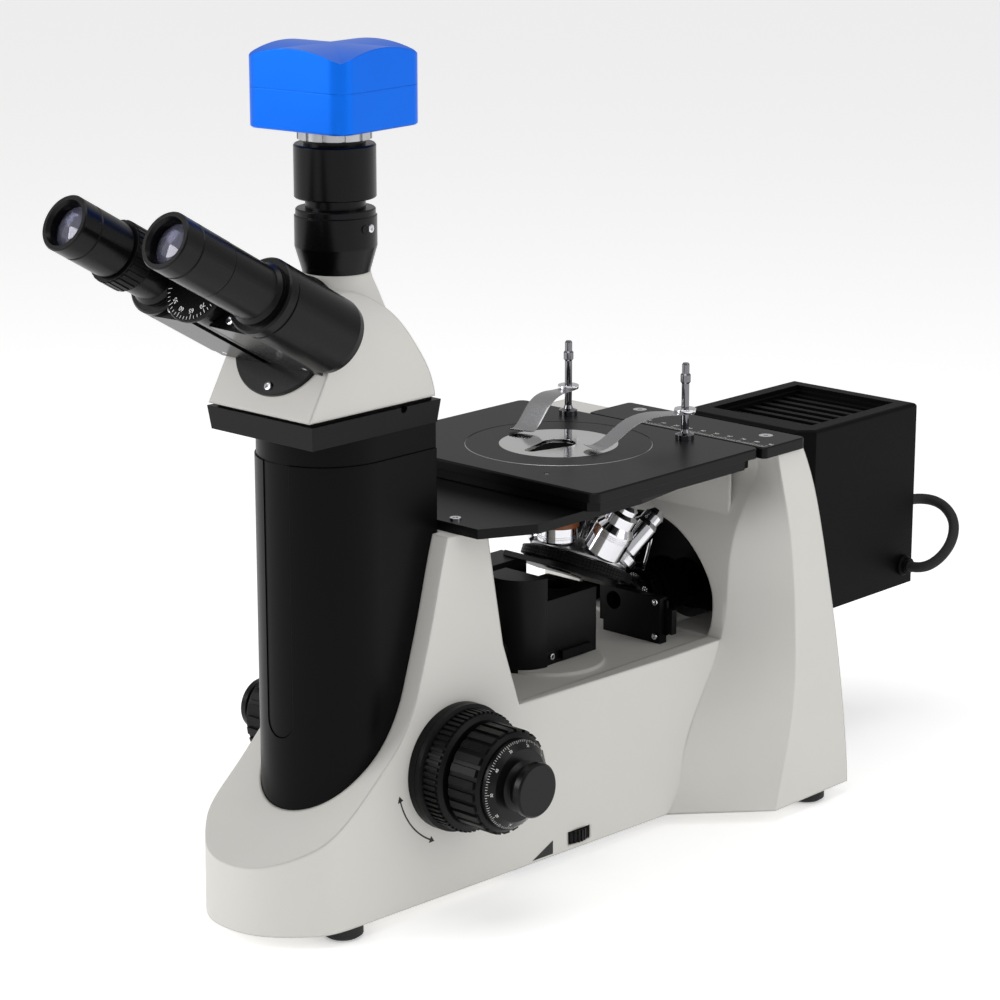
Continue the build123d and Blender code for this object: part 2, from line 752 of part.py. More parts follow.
# Coarse slide with the rack
with BuildPart() as focus_slide:
    add(block(carriage_left, carriage_right, carriage_front, arm_plate_front - slip,
              carriage_bottom, carriage_high))
    for index in range(15):
        z = 74 + 2.6 * index
        add(block(-11, 11, carriage_front - 1, carriage_front + 1.2, z, z + 1.3), mode=Mode.SUBTRACT)
    add(beam_slot, mode=Mode.SUBTRACT)
save(focus_slide, "focus_slide")

# Fine slide with the arm and the seat of the turret
with BuildPart() as nosepiece_arm:
    add(block(carriage_left, carriage_right, arm_plate_front, carriage_back,
              carriage_bottom + 4, carriage_high - 4))
    add(beam_slot, mode=Mode.SUBTRACT)
    add(block(carriage_left, carriage_left + arm_width, carriage_back - 1, -3,
              arm_z, arm_z + arm_height))
    turret_seat = turned(
        (0, seat_face - seat_thick), (26, seat_face - seat_thick), (26, seat_face),
        (6, seat_face), (6, 2), (0, 2),
    )
    add(turret_seat.moved(turret_frame.location))
    link = block(-34, 0, -26, 8, seat_face - seat_thick - 0.5, seat_face - 1.3)
    add(link.moved(turret_frame.location))
    add(rod(8, (0, 0, 100), (0, 0, 200)), mode=Mode.SUBTRACT)
save(nosepiece_arm, "nosepiece_arm")

with BuildPart() as nosepiece_turret:
    add(turned(
        (6 + slip, seat_face + slip),
        (28.5, seat_face + slip),
        (28.5, seat_face - 1),
        (31, seat_face - 1),
        (turret_radius - 1.2, seat_face - 0.2),
        (turret_radius - 1.2, -5.4),
        (satin_radius + 0.6, -4.4),
        (satin_radius, -(satin_radius - objective_circle) * tan(tilt)),
        (9, (objective_circle - 9) * tan(tilt)),
        (6 + slip, (objective_circle - 9) * tan(tilt)),
    ))
    add(toothed(turret_radius, turret_radius - 1.3, 48, seat_face - 0.2, -5.8))
    add(rod(6 + slip, (0, 0, -30), (0, 0, 30)), mode=Mode.SUBTRACT)
    add(rod(28.5, (0, 0, -30), (0, 0, seat_face + slip)), mode=Mode.SUBTRACT)
    add(rod(8, (0, 0, 2.4), (0, 0, (objective_circle - 9) * tan(tilt))))
    for index in range(objective_count):
        turn = 360 / objective_count * index
        bore = rod(7, (0, -objective_circle, 0), (0, -objective_circle + 30 * sin(tilt), -30 * cos(tilt)))
        add(bore.moved(Location((0, 0, 0), (0, 0, turn))), mode=Mode.SUBTRACT)
save(nosepiece_turret, "nosepiece_turret", turret_frame)


def objective_at(index, *profile):
    """Objective from an outside profile, screwed into one of the holes of the turret."""
    outside = turned((0, 0), *profile, (0, profile[-1][1]))
    with BuildPart() as body:
        add(outside)
        add(rod(3.2, (0, 0, -1), (0, 0, profile[-1][1] - 2)), mode=Mode.SUBTRACT)
    own = Plane(
        origin=(0, -objective_circle, 0.4),
        x_dir=(1, 0, 0),
        z_dir=(0, -sin(tilt), cos(tilt)),
    )
    placed = body.part.moved(own.location)
    return placed.moved(Location((0, 0, 0), (0, 0, 360 / objective_count * index)))


with BuildPart() as objective_working:
    add(objective_at(0, (10, 0), (12, 1.5), (12, 20), (11.4, 21), (11.4, 30), (8, 35), (8, 37), (5, 40)))
save(objective_working, "objective_working", turret_frame)
with BuildPart() as objectives_parked:
    add(objective_at(1, (10, 0), (11.8, 1.5), (11.8, 17), (9, 21), (9, 27), (6.5, 29), (6.5, 32), (4, 34)))
    add(objective_at(2, (9, 0), (10.5, 1.2), (10.5, 6), (8, 8), (8, 27), (6.4, 30), (6.4, 35), (4, 39)))
    add(objective_at(3, (10, 0), (11.6, 1.5), (11.6, 20), (8.5, 25), (8.5, 30), (5, 33)))
    add(objective_at(4, (10, 0), (11.6, 1.5), (11.6, 12), (9, 15), (9, 20), (6, 22)))
save(objectives_parked, "objectives_parked", turret_frame)

# Mirror box under the objective, its raised front cover and the tube to the column
box_top = 141.5
box_wall = 3.0
with BuildPart() as mirror_box:
    add(block(-20, 19, -32, 13.3, sill_height + seat, box_top))
    chamfer(mirror_box.edges().filter_by(Axis.Z), 1)
    add(block(-20 + box_wall, 19 - box_wall, -32 + box_wall, 13.3 - box_wall,
              sill_height + box_wall, box_top - box_wall), mode=Mode.SUBTRACT)
    add(rod(9.5, (0, 0, 130), (0, 0, 150)), mode=Mode.SUBTRACT)
    add(rod(relay_radius + seat, (0, -20, relay_z), (0, -40, relay_z)), mode=Mode.SUBTRACT)
    add(rod(relay_radius - 1, (0, 0, beam_z), (0, 20, beam_z)), mode=Mode.SUBTRACT)
    # Latch tab and a screw on the near side
    add(block(18, 22, -20, 5, sill_height + 2, sill_height + 7))
    add(rod(1.8, (18, -27, sill_height + 5), (20, -27, sill_height + 5)))

with BuildPart() as beam_mirror:
    with Locations(Location((-0.5, -2, beam_z), (45, 0, 0))):
        Box(39 - 2 * box_wall - 2 * seat, 30, 2)
    add(block(-20, 19, -32 + box_wall + seat, 13.3 - box_wall - seat,
              sill_height + box_wall + seat, box_top - box_wall - seat), mode=Mode.INTERSECT)
save(beam_mirror, "beam_mirror")

with BuildPart() as mirror_cover:
    with BuildSketch(Plane.XY.offset(sill_floor + seat)):
        with Locations((0, -31)):
            Circle(20.8)
        with Locations((0, -32 - seat)):
            Rectangle(50, 30, align=(Align.CENTER, Align.MIN), mode=Mode.SUBTRACT)
    extrude(amount=156 - sill_floor)
    with BuildSketch(Plane.XZ):
        Polygon((-30, 146), (-8, 158), (-30, 158), align=None)
    extrude(amount=60, mode=Mode.SUBTRACT)
    add(rod(32, (8, -16, sill_floor - 1), (8, -16, sill_height + seat)), mode=Mode.SUBTRACT)
    add(rod(relay_radius + seat, (0, -20, relay_z), (0, -60, relay_z)), mode=Mode.SUBTRACT)

with BuildPart() as relay_tube:
    add(rod(relay_radius, (0, -30, relay_z), (0, -119, relay_z)))
    add(rod(relay_radius - 1.5, (0, -20, relay_z), (0, -130, relay_z)), mode=Mode.SUBTRACT)

with BuildPart() as mirror_housing:
    add(mirror_box.part)
    add(mirror_cover.part)
    add(relay_tube.part)
save(mirror_housing, "mirror_housing")

# Illuminator in the tower, with two dials that turn on its tube
tube_radius = 12.0
with BuildPart() as illuminator_tube:
    add(rod(tube_radius, (0, 57, beam_z), (0, 119, beam_z)))
    add(rod(17.4, (0, 78.5, beam_z), (0, 98, beam_z)))
    add(rod(9.5, (0, 50, beam_z), (0, 130, beam_z)), mode=Mode.SUBTRACT)

beam_axis = Plane(origin=(0, 0, beam_z), x_dir=(1, 0, 0), z_dir=(0, 1, 0))
with BuildPart() as aperture_dial:
    add(turned((tube_radius + slip, 57.5), (14, 57.5), (15.2, 59), (15.2, 65), (14.4, 66.5),
               (tube_radius + slip, 66.5)))
    for index in range(8):
        spot = rod(1.0, (13, 0, 62), (16, 0, 62))
        add(spot.moved(Location((0, 0, 0), (0, 0, 45 * index))), mode=Mode.SUBTRACT)
save(aperture_dial, "aperture_dial", beam_axis)

with BuildPart() as field_dial:
    add(toothed(17, 16.2, 36, 68.5, 76.5))
    add(rod(tube_radius + slip, (0, 0, 60), (0, 0, 80)), mode=Mode.SUBTRACT)
    # Chrome lever; the local -Y of this frame is up
    add(rod(1.1, (4.5, -15.5, 72), (15, -51, 72)))
save(field_dial, "field_dial", beam_axis)

# Filter holder in front of the dials, with a slider that carries a filter
with BuildPart() as filter_holder:
    add(block(-8, 36, 50, 53.5, sill_floor + seat, 129))
    add(block(-8, 36, 53, 56, sill_floor + seat, 105.7))
    add(block(-8, 36, 53, 56, 127.3, 129))
    add(rod(5.5, (0, 40, beam_z), (0, 60, beam_z)), mode=Mode.SUBTRACT)
    for z in (105.5, 126.5):
        add(rod(1.7, (33, 48.8, z), (33, 50.5, z)))
        add(rod(0.7, (33, 48, z), (33, 49.6, z)), mode=Mode.SUBTRACT)
save(filter_holder, "filter_holder")

with BuildPart() as filter_slider:
    add(block(-14, 38, 53.8, 55.4, 106, 127))
    add(block(38, 42, 53.8, 58, 107, 122))
    for x in (0, 19):
        add(rod(5.2, (x, 50, beam_z), (x, 60, beam_z)), mode=Mode.SUBTRACT)
    add(rod(5.2, (19, 54.2, beam_z), (19, 55, beam_z)))
save(filter_slider, "filter_slider")

# Black lining of the tower recess
with BuildPart() as tower_liner:
    with BuildSketch(Plane.XZ.offset(-81)):
        with Locations((0, recess_z)):
            Circle(recess_radius - seat)
        with Locations((0, sill_height + seat)):
            Rectangle(120, 80, align=(Align.CENTER, Align.MAX), mode=Mode.SUBTRACT)
    extrude(amount=-(tower_front + recess_depth - 81 - seat))
    with BuildSketch(Plane.XZ.offset(-70)):
        with Locations((0, recess_z)):
            Circle(recess_radius - 1.6)
    extrude(amount=-(tower_front + recess_depth - 70 - 1.6), mode=Mode.SUBTRACT)
    add(rod(tube_radius + seat, (0, 60, beam_z), (0, 130, beam_z)), mode=Mode.SUBTRACT)
    add(base_casting.part, mode=Mode.SUBTRACT)

with BuildPart() as illuminator:
    add(illuminator_tube.part)
    add(tower_liner.part)
save(illuminator, "illuminator")

# Lamp house behind the tower
with BuildPart() as lamp_neck:
    add(rod(neck_radius, (0, tower_front + recess_depth + seat, beam_z), (0, lamp_front - seat, beam_z)))
    add(rod(neck_radius + 8, (0, lamp_front - 6, beam_z), (0, lamp_front - seat, beam_z)))
    add(rod(20, (0, 110, beam_z), (0, lamp_front + 1, beam_z)), mode=Mode.SUBTRACT)
    add(turned((19.9, 0), (20.5, 0), (20.5, 3), (19.9, 3)).moved(
        Plane(origin=(0, 150, beam_z), x_dir=(1, 0, 0), z_dir=(0, 1, 0)).location))
save(lamp_neck, "lamp_neck")

with BuildPart() as collector_lens:
    add(turned((0, 0), (19.8, 0), (19.8, 3), (14, 6.5), (7, 8.6), (0, 9.2)))
save(collector_lens, "collector_lens", Plane(origin=(0, 153, beam_z), x_dir=(1, 0, 0), z_dir=(0, 1, 0)))

with BuildPart() as lamp_housing:
    add(block(-lamp_half, lamp_half, lamp_front, lamp_back, lamp_bottom, lamp_top))
    front_corners = lamp_housing.edges().filter_by(Axis.Z).group_by(Axis.Y)[0]
    chamfer(front_corners, 9)
    fillet(lamp_housing.faces().sort_by(Axis.Z)[-1].edges(), 2.5)
    add(block(-lamp_half + lamp_wall, lamp_half - lamp_wall, lamp_front + lamp_wall + 7,
              lamp_back - lamp_wall, lamp_bottom + lamp_wall, lamp_top - 10), mode=Mode.SUBTRACT)
    # Opening of the top grille
    add(block(-38, 38, lamp_front + 16, lamp_back - 10, lamp_top - 12, 300), mode=Mode.SUBTRACT)
    add(rod(21, (0, lamp_front - 1, beam_z), (0, lamp_front + 20, beam_z)), mode=Mode.SUBTRACT)
    for x in range(-30, 31, 12):
        add(block(x, x + 4, 200, 262, lamp_bottom - 1, lamp_bottom + lamp_wall + 1),
            mode=Mode.SUBTRACT)

with BuildPart() as lamp_grille:
    grille_front = lamp_front + 16 + seat
    grille_back = lamp_back - 10 - seat
    add(block(-38 + seat, 38 - seat, grille_front, grille_back, lamp_top - 9, lamp_top - 3))
    add(block(-36, 36, grille_front + 2, grille_back - 2, lamp_top - 12, lamp_top), mode=Mode.SUBTRACT)
    for index in range(8):
        y = grille_front + 4 + index * 11
        add(block(-37, 37, y, y + 4.5, lamp_top - 8, lamp_top - 5))

with BuildPart() as lamp_socket:
    add(block(-16, 16, 216, 240, lamp_bottom + lamp_wall + seat, lamp_bottom + lamp_wall + 4))
    add(rod(9, (0, 230, 96), (0, 230, 110)))
    for x in (-3, 3):
        add(rod(1.1, (x, 230, 104), (x, 230, 111)), mode=Mode.SUBTRACT)

with BuildPart() as lamp_bulb:
    add(turned((0, 110.1), (5, 110.1), (6.5, 114), (6.5, 126), (4, 131), (0, 133)))
    for x in (-3, 3):
        add(rod(1.0, (x, 0, 104.1), (x, 0, 111)))
save(lamp_bulb, "lamp_bulb", Plane(origin=(0, 230, 0)))

with BuildPart() as lamp_reflector:
    bowl = turned((4, 0), (14, 2.5), (21, 9), (24, 16), (22.8, 16.4), (20, 10), (13.4, 4), (4, 1.4))
    add(bowl.moved(Plane(origin=(0, 258, beam_z), x_dir=(1, 0, 0), z_dir=(0, -1, 0)).location))
    add(block(-3, 3, 252, 262, lamp_bottom + lamp_wall + seat, beam_z - 15))

with BuildPart() as lamp_mounts:
    add(lamp_socket.part)
    add(lamp_reflector.part)
save(lamp_mounts, "lamp_mounts")

# Cable that goes from one side of the lamp house to its back, and its two glands
cable_radius = 3.35
gland_high = 5.5
side_gland = (lamp_half, 276, 105)
back_gland = (38, lamp_back, 142)
with BuildPart() as cable_glands:
    gland = turned((0, seat), (6.6, seat), (6.6, 2), (5.6, 3), (5.2, gland_high), (0, gland_high))
    add(gland.moved(Plane(origin=side_gland, z_dir=(1, 0, 0)).location))
    add(gland.moved(Plane(origin=back_gland, z_dir=(0, 1, 0)).location))

with BuildPart() as lamp_case:
    add(lamp_housing.part)
    add(lamp_grille.part)
    add(cable_glands.part)
save(lamp_case, "lamp_case")

cable_route = [
    Vector(lamp_half + gland_high + seat, 276, 105),
    Vector(64, 276, 105),
    Vector(72, 284.5, 111.5),
    Vector(73.5, 296, 122),
    Vector(67, 306, 133),
    Vector(53, 310, 141),
    Vector(38, 304.5, 142),
    Vector(38, lamp_back + gland_high + seat, 142),
]
cable_radii = []
for before, corner, after in zip(cable_route, cable_route[1:], cable_route[2:]):
    half_turn = radians((corner - before).get_angle(after - corner)) / 2
    shorter = min((corner - before).length, (after - corner).length)
    cable_radii.append(0.45 * shorter / tan(half_turn))
print("lamp cable radii", [round(radius, 1) for radius in cable_radii])
with BuildPart() as lamp_cable:
    with BuildLine() as cable_path:
        FilletPolyline(*cable_route, radius=cable_radii)
    with BuildSketch(Plane(origin=cable_path.line @ 0, z_dir=cable_path.line % 0)):
        Circle(cable_radius)
    sweep(path=cable_path.line)
save(lamp_cable, "lamp_cable")

# Head: white shell with a leaning front and a round neck for the camera tube
head_frame = Plane(
    origin=(0, eye_y, eye_z),
    x_dir=(1, 0, 0),
    z_dir=(0, -cos(radians(head_tilt)), sin(radians(head_tilt))),
)
neck_top = 350.0
shoulder_top = 343.0


def face_point(height):
    """Point of the head's front face in the side view, at a height."""
    up = (height - eye_z + head_face * sin(radians(head_tilt))) / cos(radians(head_tilt))
    y = eye_y + up * sin(radians(head_tilt)) + head_face * cos(radians(head_tilt))
    return (y, height)


with BuildPart() as head_shell:
    with BuildSketch(Plane.YZ):
        with BuildLine():
            crown = Spline((-188, shoulder_top), (-177, 339), (-165, 328), (-154, 312), (-146, 299),
                           (-141, 284.5))
            Polyline(crown @ 1, (-141, head_bottom), face_point(head_bottom),
                     face_point(shoulder_top), crown @ 0)
        make_face()
    extrude(amount=60, both=True)
    with BuildSketch(Plane.XZ):
        with BuildLine():
            flank = Spline((38, 300), (37, 316), (32.5, 331), (22, shoulder_top))
            Polyline(flank @ 1, (0, shoulder_top), (0, head_bottom), (38, head_bottom), flank @ 0)
        make_face()
        mirror(about=Plane.YZ)
    extrude(amount=300, mode=Mode.INTERSECT)
    neck = turned((0, 318), (27, 318), (25.5, 330), (22, 339), (19, 346), (17.9, neck_top), (0, neck_top))
    add(neck.moved(Location((0, trino_y, 0))))
    add(rod(12, (0, trino_y, 280), (0, trino_y, 360)), mode=Mode.SUBTRACT)
    add(block(-26, 26, -206, -170, 284, 314), mode=Mode.SUBTRACT)
    add(rod(pivot_radius + 3, (0, pivot_v, -head_face + 1), (0, pivot_v, -head_face - 22)).moved(
        head_frame.location), mode=Mode.SUBTRACT)
save(head_shell, "head_shell")

with BuildPart() as pivot_disc:
    add(turned((0, -head_face + seat), (33.5, -head_face + seat), (33.5, -disc_face - 0.6),
               (32.9, -disc_face), (0, -disc_face)))
    add(rod(pivot_radius, (0, 0, -disc_face - 1), (0, 0, -64.4)))
    add(rod(4, (0, 0, -64.4), (0, 0, -62.5)))
save(pivot_disc, "pivot_disc", Plane(head_frame.location * Location((0, pivot_v, 0))))

with BuildPart() as ipd_dial:
    add(turned((4 + seat, -64.4 + seat), (19.6, -64.4 + seat), (20.2, -63.8), (20.2, -62.6),
               (19.6, -62), (4 + seat, -62)))
    add(turned((pivot_radius + seat, -94.9), (hub_radius, -94.9), (hub_radius, -64.4 + seat),
               (pivot_radius + seat, -64.4 + seat)))
save(ipd_dial, "ipd_dial", Plane(head_frame.location * Location((0, pivot_v, 0))))

barrel_front = 70.0
hub_ranges = {"right": (-111.7, -95.3), "left": (-disc_face + 0.3, -112.3)}
for side_name, sign in (("right", 1), ("left", -1)):
    hub_low, hub_high = hub_ranges[side_name]
    with BuildPart() as prism_housing:
        add(turned(
            (0, -disc_face + 0.3), (barrel_radius - 4, -disc_face + 0.3),
            (barrel_radius - 1, -disc_face + 2), (barrel_radius, -disc_face + 6),
            (barrel_radius, -barrel_front - 7), (barrel_radius - 0.7, -barrel_front - 6.6),
            (barrel_radius - 0.7, -barrel_front - 6), (barrel_radius, -barrel_front - 5.6),
            (barrel_radius, -barrel_front - 1), (barrel_radius - 1, -barrel_front),
            (tube_radius_eye + 1.6, -barrel_front), (tube_radius_eye + 1.6, -barrel_front + 2),
            (tube_radius_eye, -barrel_front + 4), (0, -barrel_front + 4),
        ).moved(Location((sign * eye_half, 0, 0))))
        # Flat underside towards the middle, cleared round the pivot
        with BuildSketch(Plane.XY.offset(-disc_face + 0.3)):
            Polygon((sign * 7, pivot_v), (sign * 7, -19.8), (sign * eye_half, -barrel_radius),
                    (sign * eye_half, pivot_v), align=None)
        extrude(amount=disc_face - barrel_front - 4)
        add(rod(hub_radius + 0.6, (0, pivot_v, -140), (0, pivot_v, -40)), mode=Mode.SUBTRACT)
        # Hub and arm
        with BuildSketch(Plane.XY.offset(hub_low)):
            with Locations((0, pivot_v)):
                Circle(hub_radius)
            Polygon((0, pivot_v + 12), (sign * 24, 12), (sign * 24, -14), (0, pivot_v - 14), align=None)
        extrude(amount=hub_high - hub_low)
        add(rod(pivot_radius + slip, (0, pivot_v, -140), (0, pivot_v, -40)), mode=Mode.SUBTRACT)
        # Eyepiece tube; the left one is thinner where the ribbed ring turns on it
        if side_name == "right":
            add(rod(tube_radius_eye, (sign * eye_half, 0, -barrel_front + 2), (sign * eye_half, 0, -35.3)))
        else:
            add(rod(tube_radius_eye, (sign * eye_half, 0, -barrel_front + 2), (sign * eye_half, 0, -50)))
            add(rod(13.2, (sign * eye_half, 0, -52), (sign * eye_half, 0, -35.3)))
        add(rod(ocular_radius + seat, (sign * eye_half, 0, -100), (sign * eye_half, 0, -30)),
            mode=Mode.SUBTRACT)
        # Screws in the front recess and in the flat underside
        add(rod(2.2, (sign * 22, -15, -barrel_front - 4), (sign * 22, -15, -barrel_front - 2.6)))
    save(prism_housing, f"prism_housing_{side_name}", head_frame)

with BuildPart() as diopter_ring:
    add(toothed(17.2, 16.2, 30, -48.7, -37, 0.6))
    add(rod(16.6, (0, 0, -49.6), (0, 0, -35.9)))
    add(rod(13.2 + slip, (0, 0, -60), (0, 0, -30)), mode=Mode.SUBTRACT)
save(diopter_ring, "diopter_ring", Plane(head_frame.location * Location((-eye_half, 0, 0))))

for side_name, sign in (("right", 1), ("left", -1)):
    eye_frame = Plane(head_frame.location * Location((sign * eye_half, 0, 0)))
    with BuildPart() as eyepiece:
        add(turned(
            (12.4, 0), (14.4, 0), (15, -0.8), (15, -10.8), (14.4, -11.3), (14.4, -12.1),
            (15, -12.6), (15, -34.9), (ocular_radius, -34.9), (ocular_radius, -60), (10, -60),
            (10, -9), (11.2, -9), (11.2, -2.2),
        ))
    save(eyepiece, f"eyepiece_{side_name}", eye_frame)
    with BuildPart() as eye_lens:
        add(turned((0, -8.9), (11.1, -8.9), (11.1, -6.8), (7, -4.8), (0, -4.0)))
    save(eye_lens, f"eye_lens_{side_name}", eye_frame)

# Camera tube, adapter and camera
trino_frame = Plane(origin=(0, trino_y, 0))
with BuildPart() as tube_collar:
    add(turned((14, neck_top + seat), (17.85, neck_top + seat), (21.7, 363.5), (21.7, 379.5),
               (21.0, 380), (21.0, 382.8), (20.4, 383.4), (14, 383.4)))
    for turn in (0, 180):
        screw = rod(2.2, (20, 0, 374), (22.2, 0, 374))
        add(screw.moved(Location((0, 0, 0), (0, 0, turn))))
save(tube_collar, "tube_collar", trino_frame)

with BuildPart() as camera_adapter:
    add(turned((12, 383.4 + seat), (15.85, 383.4 + seat), (15.85, 388.8), (21, 388.8), (21.55, 389.4),
               (21.55, 416.0), (20.8, 416.9), (16.25, 416.9), (16.25, 425.9), (12, 425.9)))
save(camera_adapter, "camera_adapter", trino_frame)

camera_half = 33.3
camera_turn = 5.7
camera_low = 426.0
camera_seam = 447.0
camera_corner = 461.0
camera_crown = 468.0
camera_frame = Plane(Location((0, trino_y, 0), (0, 0, camera_turn)))
with BuildPart() as camera_mount:
    add(turned((16.25 + seat, 419.5), (19.6, 419.5), (19.6, camera_low - seat),
               (16.25 + seat, camera_low - seat)))
    for index in range(12):
        slot = block(18.4, 22, -1, 1, 418, 424)
        add(slot.moved(Location((0, 0, 0), (0, 0, 30 * index))), mode=Mode.SUBTRACT)
save(camera_mount, "camera_mount", trino_frame)

with BuildPart() as camera_shell:
    with BuildSketch(Plane.XY.offset(camera_low)):
        RectangleRounded(2 * camera_half, 2 * camera_half, 9)
    extrude(amount=camera_seam - camera_low - 0.15)
    chamfer(camera_shell.faces().sort_by(Axis.Z)[0].edges(), 0.8)
    add(rod(14, (0, 0, 420), (0, 0, 430)), mode=Mode.SUBTRACT)
save(camera_shell, "camera_shell", camera_frame)

with BuildPart() as camera_cap:
    for plane in (Plane.XZ, Plane.YZ):
        with BuildSketch(plane):
            with BuildLine():
                arch = ThreePointArc((-camera_half, camera_corner), (0, camera_crown),
                                     (camera_half, camera_corner))
                Polyline(arch @ 1, (camera_half, camera_seam - 0.13),
                         (-camera_half, camera_seam - 0.13), arch @ 0)
            make_face()
        extrude(amount=camera_half, both=True)
    with BuildSketch(Plane.XY.offset(camera_seam - 0.13)):
        RectangleRounded(2 * camera_half, 2 * camera_half, 9)
    extrude(amount=40, mode=Mode.INTERSECT)
save(camera_cap, "camera_cap", camera_frame)
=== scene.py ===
# %% [markdown]
# # An inverted metallurgical microscope
# This lesson dresses a measured model in Blender. The solids come from the CAD model and never
# change. Here they get their finishes, and the small things that a solid model leaves out:
# scales, screws, printed marks, springs and the lamp cable.

# %% Load the measured parts
import bpy
import bmesh
import json
from math import atan2, cos, degrees, pi, radians, sin, tan
from mathutils import Matrix, Vector

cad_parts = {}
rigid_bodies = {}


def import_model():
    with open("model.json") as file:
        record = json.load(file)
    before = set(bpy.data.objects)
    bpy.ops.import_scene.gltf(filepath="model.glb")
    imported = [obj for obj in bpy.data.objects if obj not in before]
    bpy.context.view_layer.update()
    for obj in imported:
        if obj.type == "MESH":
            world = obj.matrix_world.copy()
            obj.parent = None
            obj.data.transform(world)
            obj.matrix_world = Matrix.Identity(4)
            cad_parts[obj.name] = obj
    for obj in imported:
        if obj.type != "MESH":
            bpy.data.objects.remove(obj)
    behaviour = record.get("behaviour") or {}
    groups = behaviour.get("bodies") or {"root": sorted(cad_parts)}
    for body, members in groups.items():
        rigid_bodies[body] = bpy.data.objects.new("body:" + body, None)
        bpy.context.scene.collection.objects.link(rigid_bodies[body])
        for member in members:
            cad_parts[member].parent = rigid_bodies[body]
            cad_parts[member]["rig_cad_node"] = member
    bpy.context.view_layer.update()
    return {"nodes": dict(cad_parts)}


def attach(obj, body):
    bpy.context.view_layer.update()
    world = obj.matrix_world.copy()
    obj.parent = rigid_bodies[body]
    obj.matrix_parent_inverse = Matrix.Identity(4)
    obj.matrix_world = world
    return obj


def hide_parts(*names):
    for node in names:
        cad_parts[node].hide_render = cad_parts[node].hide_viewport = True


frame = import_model()
print("parts loaded:", len(frame["nodes"]))

# %% [markdown]
# The camera stands where the photographer's did: to the right front and a little above, far
# back with a long lens. Three soft boxes light the white casting. The black parts need large
# light areas to mirror, or they would turn into silhouettes.

# %% Camera, floor and light
camera_data = bpy.data.cameras.new("photo_camera")
camera_data.lens = 108.36
camera_data.sensor_width = 36.0
camera_data.clip_end = 50.0
photo_camera = bpy.data.objects.new("photo_camera", camera_data)
photo_camera.location = (1.1174, -1.2562, 0.6331)
photo_camera.rotation_euler = (radians(75.3), 0.0, radians(42.8))
bpy.context.scene.collection.objects.link(photo_camera)
bpy.context.scene.camera = photo_camera
bpy.context.scene.view_settings.view_transform = "Standard"


def linear(hex_colour):
    """Turn an sRGB hex colour into the linear values that the shaders take."""
    channels = [int(hex_colour[i:i + 2], 16) / 255 for i in (0, 2, 4)]
    return [c / 12.92 if c <= 0.04045 else ((c + 0.055) / 1.055) ** 2.4 for c in channels] + [1.0]


def add_node(tree, kind, inputs=None, **settings):
    """Add a shader node, set its properties and fill or link its inputs."""
    made = tree.nodes.new("ShaderNode" + kind)
    for name, value in settings.items():
        setattr(made, name, value)
    for name, value in (inputs or {}).items():
        if isinstance(value, bpy.types.NodeSocket):
            tree.links.new(value, made.inputs[name])
        else:
            made.inputs[name].default_value = value
    return made


def soft_box(name, place, aim, size, watts):
    """Square area light that looks at a point."""
    lamp = bpy.data.lights.new(name, "AREA")
    lamp.size = size
    lamp.energy = watts
    holder = bpy.data.objects.new(name, lamp)
    holder.location = place
    holder.rotation_euler = (Vector(aim) - Vector(place)).to_track_quat("-Z", "Y").to_euler()
    bpy.context.scene.collection.objects.link(holder)


world = bpy.data.worlds.new("white_studio")
bpy.context.scene.world = world
world.use_nodes = True
world.node_tree.nodes["Background"].inputs["Color"].default_value = (1.0, 1.0, 1.0, 1.0)
world.node_tree.nodes["Background"].inputs["Strength"].default_value = 0.5
soft_box("right_box", (1.6, 0.5, 1.0), (0.0, 0.0, 0.2), 1.1, 6.0)
soft_box("left_box", (-1.0, -1.6, 0.9), (0.0, -0.15, 0.2), 0.8, 12.0)
soft_box("top_box", (0.1, -0.2, 1.9), (0.0, 0.0, 0.1), 1.2, 9.0)

floor_mesh = bmesh.new()
bmesh.ops.create_grid(floor_mesh, x_segments=1, y_segments=1, size=15.0,
                      matrix=Matrix.Translation((0.0, 0.0, -0.0004)))
floor_data = bpy.data.meshes.new("studio_floor")
floor_mesh.to_mesh(floor_data)
studio_floor = bpy.data.objects.new("studio_floor", floor_data)
bpy.context.scene.collection.objects.link(studio_floor)
floor_finish = bpy.data.materials.new("matt white paper")
floor_finish.use_nodes = True
floor_shader = floor_finish.node_tree.nodes["Principled BSDF"]
floor_shader.inputs["Base Color"].default_value = linear("FAFAFA")
floor_shader.inputs["Roughness"].default_value = 0.9
floor_shader.inputs["Emission Color"].default_value = linear("FFFFFF")
floor_shader.inputs["Emission Strength"].default_value = 0.36
floor_data.materials.append(floor_finish)

# %% [markdown]
# Most of this microscope is metal or plastic under a coat: textured powder coat on the casting,
# anodising on machined aluminium, satin paint on the column, grained ABS on the knobs. Such a
# coat shows three things: a fine grit in its highlights, a slow drift in colour, and edges that
# are never quite sharp. One function builds it, because only the numbers differ. The grain of
# the real coats is near 0.3 mm, under a pixel here, so it is drawn two or three times coarser.


